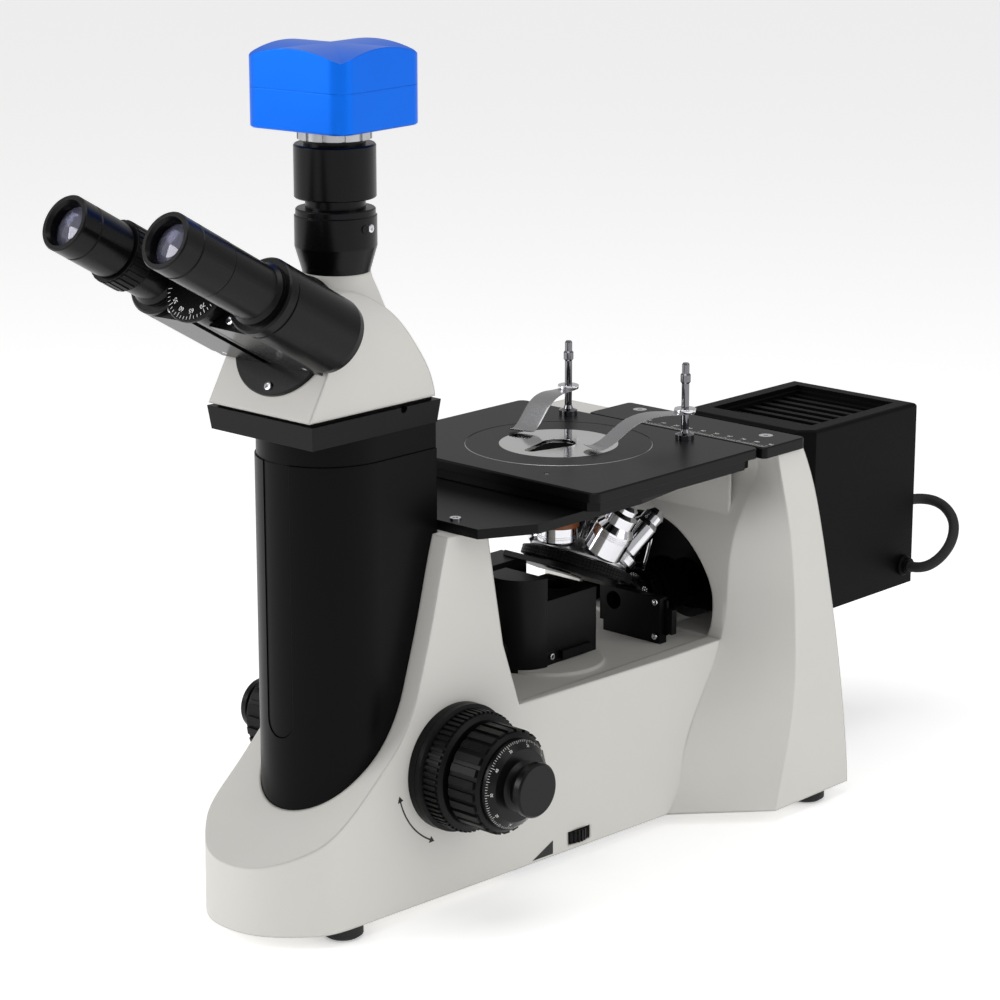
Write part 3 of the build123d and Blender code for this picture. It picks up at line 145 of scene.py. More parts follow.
# %% A coat with grit, drift and eased edges
def coated(name, colour, roughness, grit_mm, grit_depth, edge_mm=0.4, metallic=0.0, drift=0.12,
           reflection=0.5):
    """Coated surface: grit size and depth in millimetres, eased edges, and a slow drift."""
    finish = bpy.data.materials.new(name)
    finish.use_nodes = True
    tree = finish.node_tree
    shader = tree.nodes["Principled BSDF"]
    place = add_node(tree, "TexCoord").outputs["Object"]
    cloud = add_node(tree, "TexNoise", {"Vector": place, "Scale": 24.0, "Detail": 3.0})
    grit = add_node(tree, "TexNoise", {"Vector": place, "Scale": 1000.0 / grit_mm, "Detail": 2.0})
    base = linear(colour)
    deep = [channel * (1.0 - drift) for channel in base[:3]] + [1.0]
    light = [min(1.0, channel * (1.0 + drift)) for channel in base[:3]] + [1.0]
    tint = add_node(tree, "Mix", {"Factor": cloud.outputs["Fac"]}, data_type="RGBA")
    tint.inputs[6].default_value = deep
    tint.inputs[7].default_value = light
    gloss = add_node(tree, "MapRange", {
        "Value": grit.outputs["Fac"], "To Min": roughness * 0.85, "To Max": min(1.0, roughness * 1.15)})
    edge = add_node(tree, "Bevel", {"Radius": edge_mm / 1000.0}, samples=4)
    bump = add_node(tree, "Bump", {
        "Height": grit.outputs["Fac"], "Distance": grit_depth / 1000.0, "Strength": 0.6,
        "Normal": edge.outputs["Normal"]})
    tree.links.new(tint.outputs[2], shader.inputs["Base Color"])
    tree.links.new(gloss.outputs["Result"], shader.inputs["Roughness"])
    tree.links.new(bump.outputs["Normal"], shader.inputs["Normal"])
    shader.inputs["Metallic"].default_value = metallic
    shader.inputs["Specular IOR Level"].default_value = reflection
    return finish


# Textured powder coat on cast aluminium: matt white with a fine orange peel
powder_coat = coated("white powder coat on cast aluminium", "D2D0CB", 0.5, 0.9, 0.06, 2.2, 0.0, 0.02,
                     0.35)
# Satin spray paint on the column cover: deep black that mirrors the lights softly
satin_paint = coated("black satin paint", "060607", 0.33, 1.1, 0.02, 0.6, 0.0, 0.12, 0.08)
# Black anodised aluminium, bead blasted before the bath: the stage and the optical tubes
blasted_anodising = coated("black anodised aluminium", "0B0B0D", 0.36, 0.7, 0.02, 0.35, 0.0, 0.15,
                            0.14)
# Turned and anodised tubes shine more than the blasted plates
turned_anodising = coated("black anodised turned aluminium", "08080A", 0.26, 0.8, 0.01, 0.3, 0.0,
                           0.15, 0.2)
# Moulded ABS of the knobs: a fine spark-eroded grain
grained_plastic = coated("moulded black ABS", "0A0A0B", 0.38, 0.8, 0.03, 0.3, 0.0, 0.12, 0.15)
# Turned steel of the fine knobs under a thin black coat: it shines more than the ABS
coated_steel = coated("black coat on turned steel", "090909", 0.3, 0.8, 0.01, 0.3, 0.0, 0.12, 0.2)
# Crackle paint on the lamp house stands the heat and hides scratches
lamp_paint = coated("black wrinkle paint", "050506", 0.5, 1.2, 0.06, 0.6, 0.0, 0.2, 0.07)
# Moulded rubber of the feet
moulded_rubber = coated("moulded rubber", "151515", 0.75, 1.0, 0.05, 0.5)
# Blue anodised camera body: the dye lies over bright metal, so it stays a vivid, even satin
blue_anodising = coated("blue anodised aluminium", "0570F2", 0.33, 0.6, 0.008, 0.7, 0.6, 0.05, 0.2)
print("coats made")

# %% [markdown]
# Bare metal differs by how it was worked. Chrome is a smooth mirror. The insert plate and the
# leaf springs are ground in one direction, so their roughness runs in streaks. The turret's cone
# was turned on a lathe, so its streaks are rings. The streaks are noise stretched along the tool's
# path, about 0.4 mm wide.


# %% Bare metals
def bare_metal(name, colour, roughness, streak=(1.0, 1.0, 1.0), streak_depth=0.0, edge_mm=0.25):
    """Uncoated metal, with streaks stretched by three factors along the object's axes."""
    finish = bpy.data.materials.new(name)
    finish.use_nodes = True
    tree = finish.node_tree
    shader = tree.nodes["Principled BSDF"]
    place = add_node(tree, "TexCoord").outputs["Object"]
    stretched = add_node(tree, "Mapping", {"Vector": place, "Scale": streak})
    lines = add_node(tree, "TexNoise", {"Vector": stretched.outputs["Vector"], "Scale": 900.0,
                                        "Detail": 3.0})
    smudge = add_node(tree, "TexNoise", {"Vector": place, "Scale": 60.0, "Detail": 2.0})
    gloss = add_node(tree, "MapRange", {"Value": lines.outputs["Fac"],
                                        "To Min": roughness * 0.7, "To Max": roughness * 1.3})
    shade = add_node(tree, "Mix", {"Factor": smudge.outputs["Fac"]}, data_type="RGBA")
    base = linear(colour)
    shade.inputs[6].default_value = [channel * 0.92 for channel in base[:3]] + [1.0]
    shade.inputs[7].default_value = base
    edge = add_node(tree, "Bevel", {"Radius": edge_mm / 1000.0}, samples=4)
    bump = add_node(tree, "Bump", {"Height": lines.outputs["Fac"], "Strength": 0.3,
                                   "Distance": streak_depth / 1000.0,
                                   "Normal": edge.outputs["Normal"]})
    tree.links.new(shade.outputs[2], shader.inputs["Base Color"])
    tree.links.new(gloss.outputs["Result"], shader.inputs["Roughness"])
    tree.links.new(bump.outputs["Normal"], shader.inputs["Normal"])
    shader.inputs["Metallic"].default_value = 1.0
    return finish


polished_chrome = bare_metal("polished chrome plate", "E4E4E8", 0.08, (1, 1, 1), 0.0)
# Clip posts: the polished chrome is real, but its colour is darkened to 77777B as a painted dark
# reflection, standing in for the dark surroundings that real posts mirror
chrome_with_painted_reflection = bare_metal("chrome darkened as a painted dark reflection", "77777B", 0.07, (1, 1, 1), 0.0)
polished_steel = bare_metal("polished stainless steel", "E2E2E1", 0.1, (0.3, 1.0, 1.0), 0.003)
ground_steel = bare_metal("ground stainless steel", "D2D2D3", 0.22, (0.12, 1.0, 1.0), 0.01)
spring_steel = bare_metal("rolled spring steel", "A8A8AA", 0.26, (0.3, 1.0, 1.0), 0.01)
satin_aluminium = bare_metal("machined aluminium", "C4C4C6", 0.3, (0.5, 0.5, 0.5), 0.01)

# %% [markdown]
# Glass needs light through it and a trace of colour: the eyepiece lenses carry a purple and green
# anti-reflection coat. A slight tint on the glass and a tinted clear coat over it give both hues.


# %% Glass, mirror, board and print
def glass(name, colour, coat_tint):
    """Clear optical glass under a tinted coat."""
    finish = bpy.data.materials.new(name)
    finish.use_nodes = True
    tree = finish.node_tree
    shader = tree.nodes["Principled BSDF"]
    place = add_node(tree, "TexCoord").outputs["Object"]
    haze = add_node(tree, "TexNoise", {"Vector": place, "Scale": 300.0, "Detail": 1.0})
    gloss = add_node(tree, "MapRange", {"Value": haze.outputs["Fac"], "To Min": 0.01, "To Max": 0.05})
    tree.links.new(gloss.outputs["Result"], shader.inputs["Roughness"])
    shader.inputs["Base Color"].default_value = linear(colour)
    shader.inputs["IOR"].default_value = 1.52
    shader.inputs["Transmission Weight"].default_value = 0.85
    shader.inputs["Coat Weight"].default_value = 0.6
    shader.inputs["Coat Tint"].default_value = linear(coat_tint)
    return finish


def printed(name, colour):
    """Thin print with slight wear in its cover."""
    finish = bpy.data.materials.new(name)
    finish.use_nodes = True
    tree = finish.node_tree
    shader = tree.nodes["Principled BSDF"]
    place = add_node(tree, "TexCoord").outputs["Object"]
    wear = add_node(tree, "TexNoise", {"Vector": place, "Scale": 1800.0, "Detail": 2.0})
    tint = add_node(tree, "Mix", {"Factor": wear.outputs["Fac"]}, data_type="RGBA")
    tint.inputs[6].default_value = [channel * 0.85 for channel in linear(colour)[:3]] + [1.0]
    tint.inputs[7].default_value = linear(colour)
    tree.links.new(tint.outputs[2], shader.inputs["Base Color"])
    shader.inputs["Roughness"].default_value = 0.5
    return finish


coated_glass = glass("coated crown glass", "C9D0D6", "DCD6F2")
lamp_glass = glass("quartz glass", "F2F4F6", "FFFFFF")
silvered_mirror = bare_metal("silvered mirror", "F0F0F2", 0.03)
circuit_board = coated("green circuit board", "1F5C33", 0.35, 3.0, 0.05, 0.2, 0.0, 0.3)
white_print = printed("white engraving paint", "F2F2EE")
black_print = printed("black silk-screen ink", "0C0C0C")
print("metals, glass and prints made")

# %% Finishes of the measured parts
finishes = {
    "base_casting": powder_coat, "head_shell": powder_coat,
    "column_wrap": satin_paint, "column_core": satin_paint,
    "head_flange": blasted_anodising, "stage_frame": blasted_anodising,
    "stage_plate": blasted_anodising, "stage_carriage": blasted_anodising,
    "stage_ring": blasted_anodising, "mirror_housing": blasted_anodising,
    "filter_holder": blasted_anodising, "filter_slider": blasted_anodising,
    "nosepiece_arm": blasted_anodising, "illuminator": lamp_paint,
    "pivot_disc": turned_anodising, "ipd_dial": turned_anodising,
    "prism_housing_right": turned_anodising, "prism_housing_left": turned_anodising,
    "eyepiece_right": turned_anodising, "eyepiece_left": turned_anodising,
    "tube_collar": turned_anodising, "camera_adapter": turned_anodising,
    "aperture_dial": turned_anodising, "field_dial": turned_anodising,
    "nosepiece_turret": turned_anodising, "lamp_neck": turned_anodising,
    "lamp_case": lamp_paint, "lamp_mounts": satin_aluminium, "lamp_bulb": lamp_glass,
    "collector_lens": coated_glass, "eye_lens_right": coated_glass,
    "eye_lens_left": coated_glass, "beam_mirror": silvered_mirror,
    "camera_mount": satin_aluminium, "camera_shell": blue_anodising,
    "camera_cap": blue_anodising, "focus_slide": satin_aluminium,
    "objective_working": polished_chrome, "objectives_parked": polished_chrome,
    "clip_posts": chrome_with_painted_reflection, "stage_screws": polished_chrome,
    "stage_insert": polished_steel, "base_plate": ground_steel,
    "clip_spring_left": spring_steel, "clip_spring_right": spring_steel,
    "rubber_feet": moulded_rubber, "lamp_cable": moulded_rubber,
    "power_supply": circuit_board,
    "fine_knob_right": coated_steel, "fine_knob_left": coated_steel,
}
for node_name, solid in frame["nodes"].items():
    solid.data.materials.clear()
    solid.data.materials.append(finishes.get(node_name, grained_plastic))
print("measured parts finished:", len(finishes))

# %% [markdown]
# New pieces start as a bmesh, and their places are written into the mesh, so each object stays
# at the origin. A few matrices say where the sloping and round surfaces are: the eyepieces lean
# 30 degrees, the turret 25 degrees, and the knobs turn about one shaft.


# %% Places on the microscope
def placed(origin, x_axis, z_axis):
    """Matrix from a local frame to the microscope's frame."""
    x_unit = Vector(x_axis).normalized()
    z_unit = Vector(z_axis).normalized()
    y_unit = z_unit.cross(x_unit)
    turn = Matrix((x_unit, y_unit, z_unit)).transposed().to_4x4()
    return Matrix.Translation(origin) @ turn


head_tilt = radians(30.0)
turret_tilt = radians(25.0)
head_place = placed((0.0, -0.3251, 0.3893), (1, 0, 0), (0, -cos(head_tilt), sin(head_tilt)))
turret_place = placed((0.0, 0.022 * cos(turret_tilt), 0.158), (1, 0, 0),
                      (0, sin(turret_tilt), cos(turret_tilt)))
knob_right = placed((0.0, -0.1402, 0.0796), (0, 1, 0), (1, 0, 0))
knob_left = placed((0.0, -0.1402, 0.0796), (0, -1, 0), (-1, 0, 0))
beam_place = placed((0.0, 0.0, 0.121), (1, 0, 0), (0, 1, 0))


def new_piece(name, shape, finish, body):
    """Turn a bmesh into a piece that rides on a body and takes the given finish."""
    data = bpy.data.meshes.new(name)
    shape.to_mesh(data)
    shape.free()
    data.materials.append(finish)
    piece = bpy.data.objects.new(name, data)
    bpy.context.scene.collection.objects.link(piece)
    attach(piece, body)
    return piece


def tick(shape, place, width, length):
    """Flat mark on the local XY plane, centred on the place."""
    bmesh.ops.create_grid(shape, x_segments=1, y_segments=1, size=0.5,
                          matrix=place @ Matrix.Diagonal((width, length, 1.0, 1.0)))


def write(shape, text, size, place):
    """Add generic digits to a bmesh, flat on the local XY plane and centred on the place."""
    curve = bpy.data.curves.new("digits", "FONT")
    curve.body = text
    curve.size = size
    curve.align_x = "CENTER"
    curve.align_y = "CENTER"
    holder = bpy.data.objects.new("digits", curve)
    flat = bpy.data.meshes.new_from_object(holder)
    flat.transform(place)
    shape.from_mesh(flat)
    bpy.data.objects.remove(holder)
    bpy.data.curves.remove(curve)
    bpy.data.meshes.remove(flat)


print("places and helpers ready")

# %% [markdown]
# The lower dial between the eyepieces shows the user's eye spacing in millimetres. It is
# engraved and filled with white paint. Marks are thin quads just above the metal, and digits
# come from a text curve that is made a mesh.

# %% Eye spacing scale
ink_lift = 0.00006
shape = bmesh.new()
dial_centre = head_place @ Matrix.Translation((0.0, -0.0028, -0.062 + ink_lift))
for step in range(21):
    angle = radians(-165.0 + 7.5 * step)
    long_mark = step % 4 == 0
    spot = dial_centre @ Matrix.Rotation(angle - pi / 2, 4, "Z")
    length = 0.0026 if long_mark else 0.0016
    tick(shape, spot @ Matrix.Translation((0.0, 0.0188 - length / 2, 0.0)), 0.00028, length)
    if long_mark and 0 < step < 20:
        write(shape, str(50 + 5 * (step // 4)), 0.0034,
              spot @ Matrix.Translation((0.0, 0.0142, 0.0)))
new_piece("eye_spacing_marks", shape, white_print, "stand")

# %% [markdown]
# The fine focus knob carries a cone with a hundred divisions, so one of them is a known rise of
# the objective. The cone's slope is 4.5 mm in over 3.5 mm out, and the marks lie along it.

# %% Fine focus scale
cone_slope = atan2(3.5, 4.5)
for side, place, start in (("right", knob_right, 0.0933), ("left", knob_left, 0.0873)):
    shape = bmesh.new()
    for step in range(100):
        around = place @ Matrix.Rotation(radians(3.6 * step), 4, "Z")
        cone = around @ Matrix.Translation((0.02225, 0.0, start + 0.00395 + ink_lift))
        cone = cone @ Matrix.Rotation(cone_slope, 4, "Y") @ Matrix.Rotation(-pi / 2, 4, "Z")
        length = 0.0024 if step % 10 == 0 else (0.0018 if step % 5 == 0 else 0.0012)
        tick(shape, cone @ Matrix.Translation((0.0, 0.0027 - length / 2, ink_lift)), 0.0002, length)
        if step % 10 == 0:
            write(shape, str(step), 0.0021, cone @ Matrix.Translation((0.0, -0.0010, ink_lift)))
    new_piece(f"fine_scale_{side}", shape, white_print, "fine_knobs")
print("scales done")

# %% [markdown]
# The casting has two printed signs: a curved arrow that says which way the tension ring turns,
# and a wedge beside the brightness wheel. The flank leans and splays, so each sign is drawn in
# the side view and then pushed out onto the flank.


# %% Signs on the flank
def flank_x(y, z):
    """Distance of the casting's flank from the middle, at a place in the side view."""
    splay = (0.0615 - 0.0488) * (y + 0.214) / 0.244
    return 0.0488 + splay - (z - 0.007) * tan(radians(0.8))


def push_to_flank(shape):
    """Lay the drawn sign on the flank."""
    for vert in shape.verts:
        vert.co.x = flank_x(vert.co.y, vert.co.z) + 0.0001


shape = bmesh.new()
focus_point = Vector((0.0, -0.1402, 0.0796))
arc_radius, arc_half = 0.0425, 0.00045
arc_from, arc_to = radians(193.0), radians(243.0)
inner = shape.verts.new((0.0, focus_point.y + (arc_radius - arc_half) * cos(arc_from),
                         focus_point.z + (arc_radius - arc_half) * sin(arc_from)))
outer = shape.verts.new((0.0, focus_point.y + (arc_radius + arc_half) * cos(arc_from),
                         focus_point.z + (arc_radius + arc_half) * sin(arc_from)))
first = shape.edges.new((inner, outer))
bmesh.ops.spin(shape, geom=[inner, outer, first], cent=focus_point, axis=(1, 0, 0),
               angle=arc_to - arc_from, steps=24, use_merge=False)
for angle, way in ((arc_from, -1), (arc_to, 1)):
    centre = focus_point + arc_radius * Vector((0.0, cos(angle), sin(angle)))
    head = placed(centre, (0, -sin(angle) * way, cos(angle) * way), (1, 0, 0))
    bmesh.ops.create_circle(shape, cap_ends=True, segments=3, radius=0.0024,
                            matrix=head @ Matrix.Rotation(-pi / 2, 4, "Z"))
push_to_flank(shape)
new_piece("tension_arrow", shape, black_print, "stand")

shape = bmesh.new()
corners = [shape.verts.new((0.0, y, z)) for y, z in ((-0.083, 0.0085), (-0.0665, 0.0085),
                                                     (-0.0665, 0.0165))]
shape.faces.new(corners)
push_to_flank(shape)
new_piece("brightness_wedge", shape, black_print, "stand")

# %% Stage scale
shape = bmesh.new()
for step in range(46):
    x = 0.002 + 0.002 * step
    length = 0.004 if step % 5 == 0 else 0.0024
    tick(shape, Matrix.Translation((x, 0.0725 + length / 2, 0.226 + ink_lift)), 0.0003, length)
    if step % 5 == 0:
        write(shape, str(step * 2), 0.0034, Matrix.Translation((x, 0.0795, 0.226 + ink_lift)))
tick(shape, Matrix.Translation((0.047, 0.0725, 0.226 + ink_lift)), 0.09, 0.00025)
new_piece("stage_scale", shape, white_print, "stand")

# %% [markdown]
# The stage ring was turned after it was anodised, so its chamfer is bare metal: a fine bright
# circle on the black stage.

# %% Bright edge of the stage ring
shape = bmesh.new()
inner = shape.verts.new((0.0537, 0.0, 0.226 + ink_lift))
outer = shape.verts.new((0.0542, 0.0, 0.2257 + ink_lift))
first = shape.edges.new((inner, outer))
bmesh.ops.spin(shape, geom=[inner, outer, first], cent=(0, 0, 0), axis=(0, 0, 1), angle=2 * pi,
               steps=96, use_merge=True)
shape.normal_update()
bmesh.ops.reverse_faces(shape, faces=[face for face in shape.faces if face.normal.z < 0])
new_piece("ring_edge", shape, satin_aluminium, "stage_top")

# %% [markdown]
# The lamp cable is a short jumper that leaves the side of the lamp house and goes back in at its
# rear. A smooth NURBS curve through the route's control points gives the relaxed bend of a real
# rubber cable.

# %% Lamp cable
cable_curve = bpy.data.curves.new("lamp_cable_jumper", "CURVE")
cable_curve.dimensions = "3D"
cable_curve.bevel_depth = 0.00335
cable_curve.bevel_resolution = 6
cable_curve.resolution_u = 24
cable_points = [
    (0.05432, 0.276, 0.105), (0.064, 0.276, 0.105), (0.072, 0.2845, 0.1115),
    (0.0735, 0.296, 0.122), (0.067, 0.306, 0.133), (0.053, 0.310, 0.141),
    (0.038, 0.3045, 0.142), (0.038, 0.29152, 0.142),
]
cable_line = cable_curve.splines.new("NURBS")
cable_line.points.add(len(cable_points) - 1)
for point, place in zip(cable_line.points, cable_points):
    point.co = (*place, 1.0)
cable_line.order_u = 3
cable_line.use_endpoint_u = True
cable_curve.materials.append(moulded_rubber)
lamp_cable = bpy.data.objects.new("lamp_cable_jumper", cable_curve)
bpy.context.scene.collection.objects.link(lamp_cable)
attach(lamp_cable, "stand")
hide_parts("lamp_cable")
print("cable laid")

# %% [markdown]
# Screws are small, but they are what makes a machine look assembled. Each is a chrome cap with a
# hexagon socket. The head starts as a low cylinder; its top is inset, the inner ring is pulled
# onto a hexagon, and the middle is pushed down. A small bevel catches the light on the rim.


# %% Socket screws
def socket_screw(shape, place, radius, height, sink=0.6):
    """Add a screw head with a hexagon socket, standing on the local XY plane."""
    cap = bmesh.new()
    bmesh.ops.create_cone(cap, cap_ends=True, segments=24, radius1=radius, radius2=radius,
                          depth=height, matrix=Matrix.Translation((0, 0, height / 2)))
    top = max(cap.faces, key=lambda face: face.calc_center_median().z)
    rim = list(top.edges)
    bmesh.ops.bevel(cap, geom=rim, offset=radius * 0.15, offset_type="OFFSET", segments=2,
                    profile=0.5, affect="EDGES", material=-1)
    top = max(cap.faces, key=lambda face: (round(face.calc_center_median().z, 7), face.calc_area()))
    bmesh.ops.inset_region(cap, faces=[top], thickness=radius * 0.3)
    apothem = radius * 0.46
    for vert in top.verts:
        angle = atan2(vert.co.y, vert.co.x)
        wedge = (angle + pi / 6) % (pi / 3) - pi / 6
        reach = apothem / cos(wedge)
        vert.co.x = reach * cos(angle)
        vert.co.y = reach * sin(angle)
    pushed = bmesh.ops.extrude_discrete_faces(cap, faces=[top])["faces"]
    bmesh.ops.translate(cap, verts=list({v for face in pushed for v in face.verts}),
                        vec=(0, 0, -height * sink))
    bmesh.ops.transform(cap, matrix=place, verts=cap.verts)
    carried = bpy.data.meshes.new("cap")
    cap.to_mesh(carried)
    shape.from_mesh(carried)
    bpy.data.meshes.remove(carried)
    cap.free()


shape = bmesh.new()
socket_screw(shape, head_place @ Matrix.Translation((0.003, -0.0313, -0.1305)), 0.0024, 0.0012)
for angle in (0.0, pi):
    collar = placed((0.0, -0.1754, 0.374), (0, 0, 1), (cos(angle + 0.2), sin(angle + 0.2), 0.0))
    socket_screw(shape, collar @ Matrix.Translation((0, 0, 0.0215)), 0.0023, 0.0011)
for y_low, z in ((0.0485, 0.1055), (0.0485, 0.1265)):
    socket_screw(shape, placed((0.033, y_low + 0.0006, z), (1, 0, 0), (0, -1, 0)), 0.0018, 0.001)
socket_screw(shape, placed((0.0195, -0.027, 0.108), (0, 1, 0), (1, 0, 0)), 0.0019, 0.001)
socket_screw(shape, Matrix.Translation((0.0429, -0.0578, 0.2246)), 0.0014, 0.0012)
new_piece("socket_screws", shape, polished_chrome, "stand")
for side, sign in (("right", 1), ("left", -1)):
    shape = bmesh.new()
    socket_screw(shape, head_place @ Matrix.Translation((sign * 0.022, -0.015, -0.0726)), 0.0024,
                 0.0014)
    for u, v, low in ((sign * 0.016, -0.0186, -0.080), (sign * 0.030, -0.0199, -0.124)):
        under = head_place @ Matrix.Translation((u, v, low)) @ Matrix.Rotation(pi / 2, 4, "X")
        socket_screw(shape, under @ Matrix.Translation((0, 0, -0.0004)), 0.0014, 0.0009)
    new_piece(f"barrel_screws_{side}", shape, polished_chrome, f"{side}_ocular")
print("screws fitted")

# %% [markdown]
# The turret has a satin cone that faces the objectives and a black grip with a square knurl. The
# knurl starts as a plain cylinder wall of small quads. Each quad is inset and lifted, which is
# what the knurling wheels do to the metal.

# %% Turret cone and knurled grip
shape = bmesh.new()
low_z, high_z = -0.0027, 0.0061
profile = [shape.verts.new(place) for place in (
    (0.009, 0, high_z - 0.0003), (0.009, 0, high_z + 0.0003),
    (0.0281, 0, low_z + 0.0003), (0.0287, 0, low_z - 0.0003), (0.0287, 0, low_z - 0.0015))]
wall = [shape.edges.new(pair) for pair in zip(profile, profile[1:])]
bmesh.ops.spin(shape, geom=profile + wall, cent=(0, 0, 0), axis=(0, 0, 1), angle=2 * pi,
               steps=64, use_merge=True)
bmesh.ops.remove_doubles(shape, verts=shape.verts, dist=0.00001)
bmesh.ops.recalc_face_normals(shape, faces=shape.faces)
bmesh.ops.transform(shape, matrix=turret_place, verts=shape.verts)
turret_cone = new_piece("turret_cone", shape, satin_aluminium, "turret")

shape = bmesh.new()
bmesh.ops.create_cone(shape, cap_ends=False, segments=90, radius1=0.0331, radius2=0.0331,
                      depth=0.0052, matrix=turret_place @ Matrix.Translation((0, 0, -0.0085)))
upright = [edge for edge in shape.edges if not edge.is_boundary]
bmesh.ops.subdivide_edges(shape, edges=upright, cuts=2, use_grid_fill=True)
pads = bmesh.ops.inset_individual(shape, faces=list(shape.faces), thickness=0.00035,
                                  use_even_offset=True)
raised = [face for face in shape.faces if face not in set(pads["faces"])]
for face in raised:
    bmesh.ops.translate(shape, verts=list(face.verts), vec=face.normal * 0.00045)
new_piece("turret_knurl", shape, grained_plastic, "turret")
print("turret dressed")


# %% [markdown]
# Objectives carry coloured bands and knurled rings. A band is a short profile spun round the
# objective's own axis, just proud of the chrome.


# %% Objective bands
def objective_place(index):
    """Frame of one objective, with Z along its own axis."""
    own = placed((0, -0.022, 0.0004), (1, 0, 0), (0, -sin(turret_tilt), cos(turret_tilt)))
    return turret_place @ Matrix.Rotation(radians(72.0 * index), 4, "Z") @ own


def band(shape, place, radius, low, high, rise=0.0001):
    """Closed ring with eased edges round the local Z axis."""
    strip = bmesh.new()
    ease = min(0.0002, (high - low) / 4)
    line = [strip.verts.new((r, 0, z)) for r, z in (
        (radius - 0.0003, low), (radius + rise, low), (radius + rise, low + ease),
        (radius + rise, high - ease), (radius + rise, high), (radius - 0.0003, high))]
    edges = [strip.edges.new(pair) for pair in zip(line, line[1:])]
    bmesh.ops.spin(strip, geom=line + edges, cent=(0, 0, 0), axis=(0, 0, 1), angle=2 * pi,
                   steps=48, use_merge=True)
    bmesh.ops.remove_doubles(strip, verts=strip.verts, dist=0.00001)
    bmesh.ops.recalc_face_normals(strip, faces=strip.faces)
    bmesh.ops.transform(strip, matrix=place, verts=strip.verts)
    carried = bpy.data.meshes.new("strip")
    strip.to_mesh(carried)
    shape.from_mesh(carried)
    bpy.data.meshes.remove(carried)
    strip.free()


brown_enamel = printed("brown enamel band", "8A4B1E")
shape = bmesh.new()
band(shape, objective_place(0), 0.012, 0.0095, 0.0185, 0.00015)
new_piece("brown_band", shape, brown_enamel, "turret")
shape = bmesh.new()
for index, radius, low in ((1, 0.0118, 0.0125), (2, 0.0105, 0.0030), (3, 0.0116, 0.0150),
                           (4, 0.0116, 0.0080)):
    for row in range(3):
        band(shape, objective_place(index), radius, low + 0.0011 * row, low + 0.0011 * row + 0.0006,
             0.00025)
band(shape, objective_place(0), 0.012, 0.0030, 0.0036, 0.00025)
band(shape, objective_place(0), 0.012, 0.0042, 0.0048, 0.00025)
new_piece("objective_rings", shape, polished_chrome, "turret")

# %% Field lever and dial signs
shape = bmesh.new()
lever_from = beam_place @ Vector((0.0045, -0.0155, 0.072))
lever_to = beam_place @ Vector((0.015, -0.051, 0.072))
run = lever_to - lever_from
lever = placed(lever_from, (0, 1, 0), run)
bmesh.ops.create_cone(shape, cap_ends=True, segments=20, radius1=0.00118, radius2=0.00118,
                      depth=run.length + 0.0002,
                      matrix=lever @ Matrix.Translation((0, 0, run.length / 2)))
bmesh.ops.bevel(shape, geom=[e for e in shape.edges if len(e.link_faces) == 2 and
                             e.calc_face_angle() > 1.2], offset=0.0003, offset_type="OFFSET",
                segments=2, profile=0.5, affect="EDGES", material=-1)
new_piece("field_lever", shape, polished_chrome, "field")

shape = bmesh.new()
for turn in range(8):
    face = beam_place @ Matrix.Rotation(radians(45.0 * turn + 20.0), 4, "Z")
    icon = face @ Matrix.Translation((0.01525 + ink_lift, 0.0, 0.062)) @ Matrix.Rotation(pi / 2, 4, "Y")
    for dot in range(8):
        spot = icon @ Matrix.Rotation(radians(45.0 * dot), 4, "Z") @ Matrix.Translation((0.0018, 0, 0))
        bmesh.ops.create_circle(shape, cap_ends=True, segments=8, radius=0.00042, matrix=spot)
    bmesh.ops.create_circle(shape, cap_ends=True, segments=10, radius=0.0006, matrix=icon)
new_piece("aperture_icons", shape, white_print, "aperture")

# %% [markdown]
# Each specimen clip is a leaf of rolled steel that springs down onto the stage. One edge, as wide
# as the leaf, is extruded along the bend. The sheet then gets its 0.5 mm thickness, and
# subdivision rounds the bends and the free end.


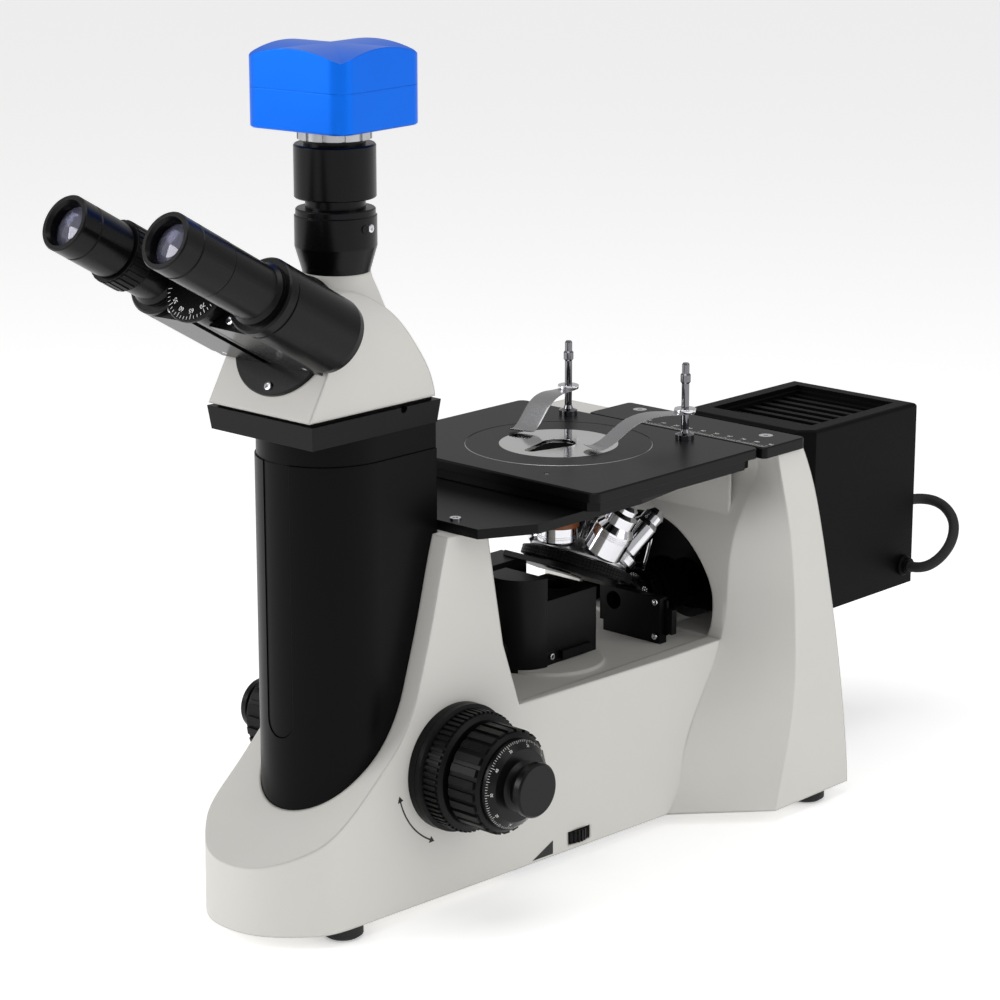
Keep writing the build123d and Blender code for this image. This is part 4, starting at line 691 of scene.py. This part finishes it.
# %% Leaf springs
def leaf_spring(name, post, tip, body, node_name):
    """Spring from a post to its tip on the stage, in place of the plain one."""
    place = placed((post[0], post[1], 0.226), (tip[0] - post[0], tip[1] - post[1], 0), (0, 0, 1))
    reach = (Vector(tip) - Vector(post)).length
    bend = ((-0.0052, 0.0152, 0.6), (0.0, 0.0154, 0.7), (0.012, 0.0160, 0.82),
            (0.30 * reach, 0.0168, 0.92), (0.46 * reach, 0.0160, 1.0), (0.59 * reach, 0.0130, 1.0),
            (0.69 * reach, 0.0086, 1.0), (0.78 * reach, 0.0042, 1.0), (0.87 * reach, 0.0014, 1.0),
            (0.93 * reach, 0.0008, 1.02), (0.97 * reach, 0.0014, 1.02), (reach, 0.0024, 0.98))
    shape = bmesh.new()
    half = 0.0078
    start = [shape.verts.new((bend[0][0], side * half * bend[0][2], bend[0][1]))
             for side in (-1, 0, 1)]
    front = [shape.edges.new(pair) for pair in zip(start, start[1:])]
    for s, z, width in bend[1:]:
        grown = bmesh.ops.extrude_edge_only(shape, edges=front)["geom"]
        front = [part for part in grown if isinstance(part, bmesh.types.BMEdge)]
        for vert in {v for edge in front for v in edge.verts}:
            side = round(vert.co.y / half)
            vert.co = Vector((s, side * half * width, z))
    bmesh.ops.recalc_face_normals(shape, faces=shape.faces)
    bmesh.ops.solidify(shape, geom=list(shape.faces), thickness=0.0005)
    bmesh.ops.transform(shape, matrix=place, verts=shape.verts)
    leaf = new_piece(name, shape, spring_steel, body)
    rounding = leaf.modifiers.new("rounding", "SUBSURF")
    rounding.levels = 2
    rounding.render_levels = 2
    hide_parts(node_name)
    shape = bmesh.new()
    bmesh.ops.create_cone(shape, cap_ends=True, segments=48, radius1=0.0064, radius2=0.0064,
                          depth=0.0024, matrix=place @ Matrix.Translation((0, 0, 0.0172)))
    bmesh.ops.bevel(shape, geom=[e for e in shape.edges if e.calc_face_angle() > 1.2],
                    offset=0.0005, offset_type="OFFSET", segments=3, profile=0.5, affect="EDGES",
                    material=-1)
    new_piece(name + "_hub", shape, polished_chrome, body)


leaf_spring("leaf_left", (-0.044, 0.058), (-0.032, 0.001), "left_clip", "clip_spring_left")
leaf_spring("leaf_right", (0.047, 0.0567), (0.025, -0.003), "right_clip", "clip_spring_right")
print("springs fitted")

# %% [markdown]
# Round pieces are made of flat faces. Smooth shading hides that, and every edge that turns by
# more than 35 degrees stays sharp.

# %% Smooth shading of the new pieces
for piece in bpy.context.scene.collection.objects:
    if piece.type == "MESH" and "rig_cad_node" not in piece and piece.name != "studio_floor":
        piece.data.shade_smooth()
        piece.data.set_sharp_from_angle(angle=radians(35.0))
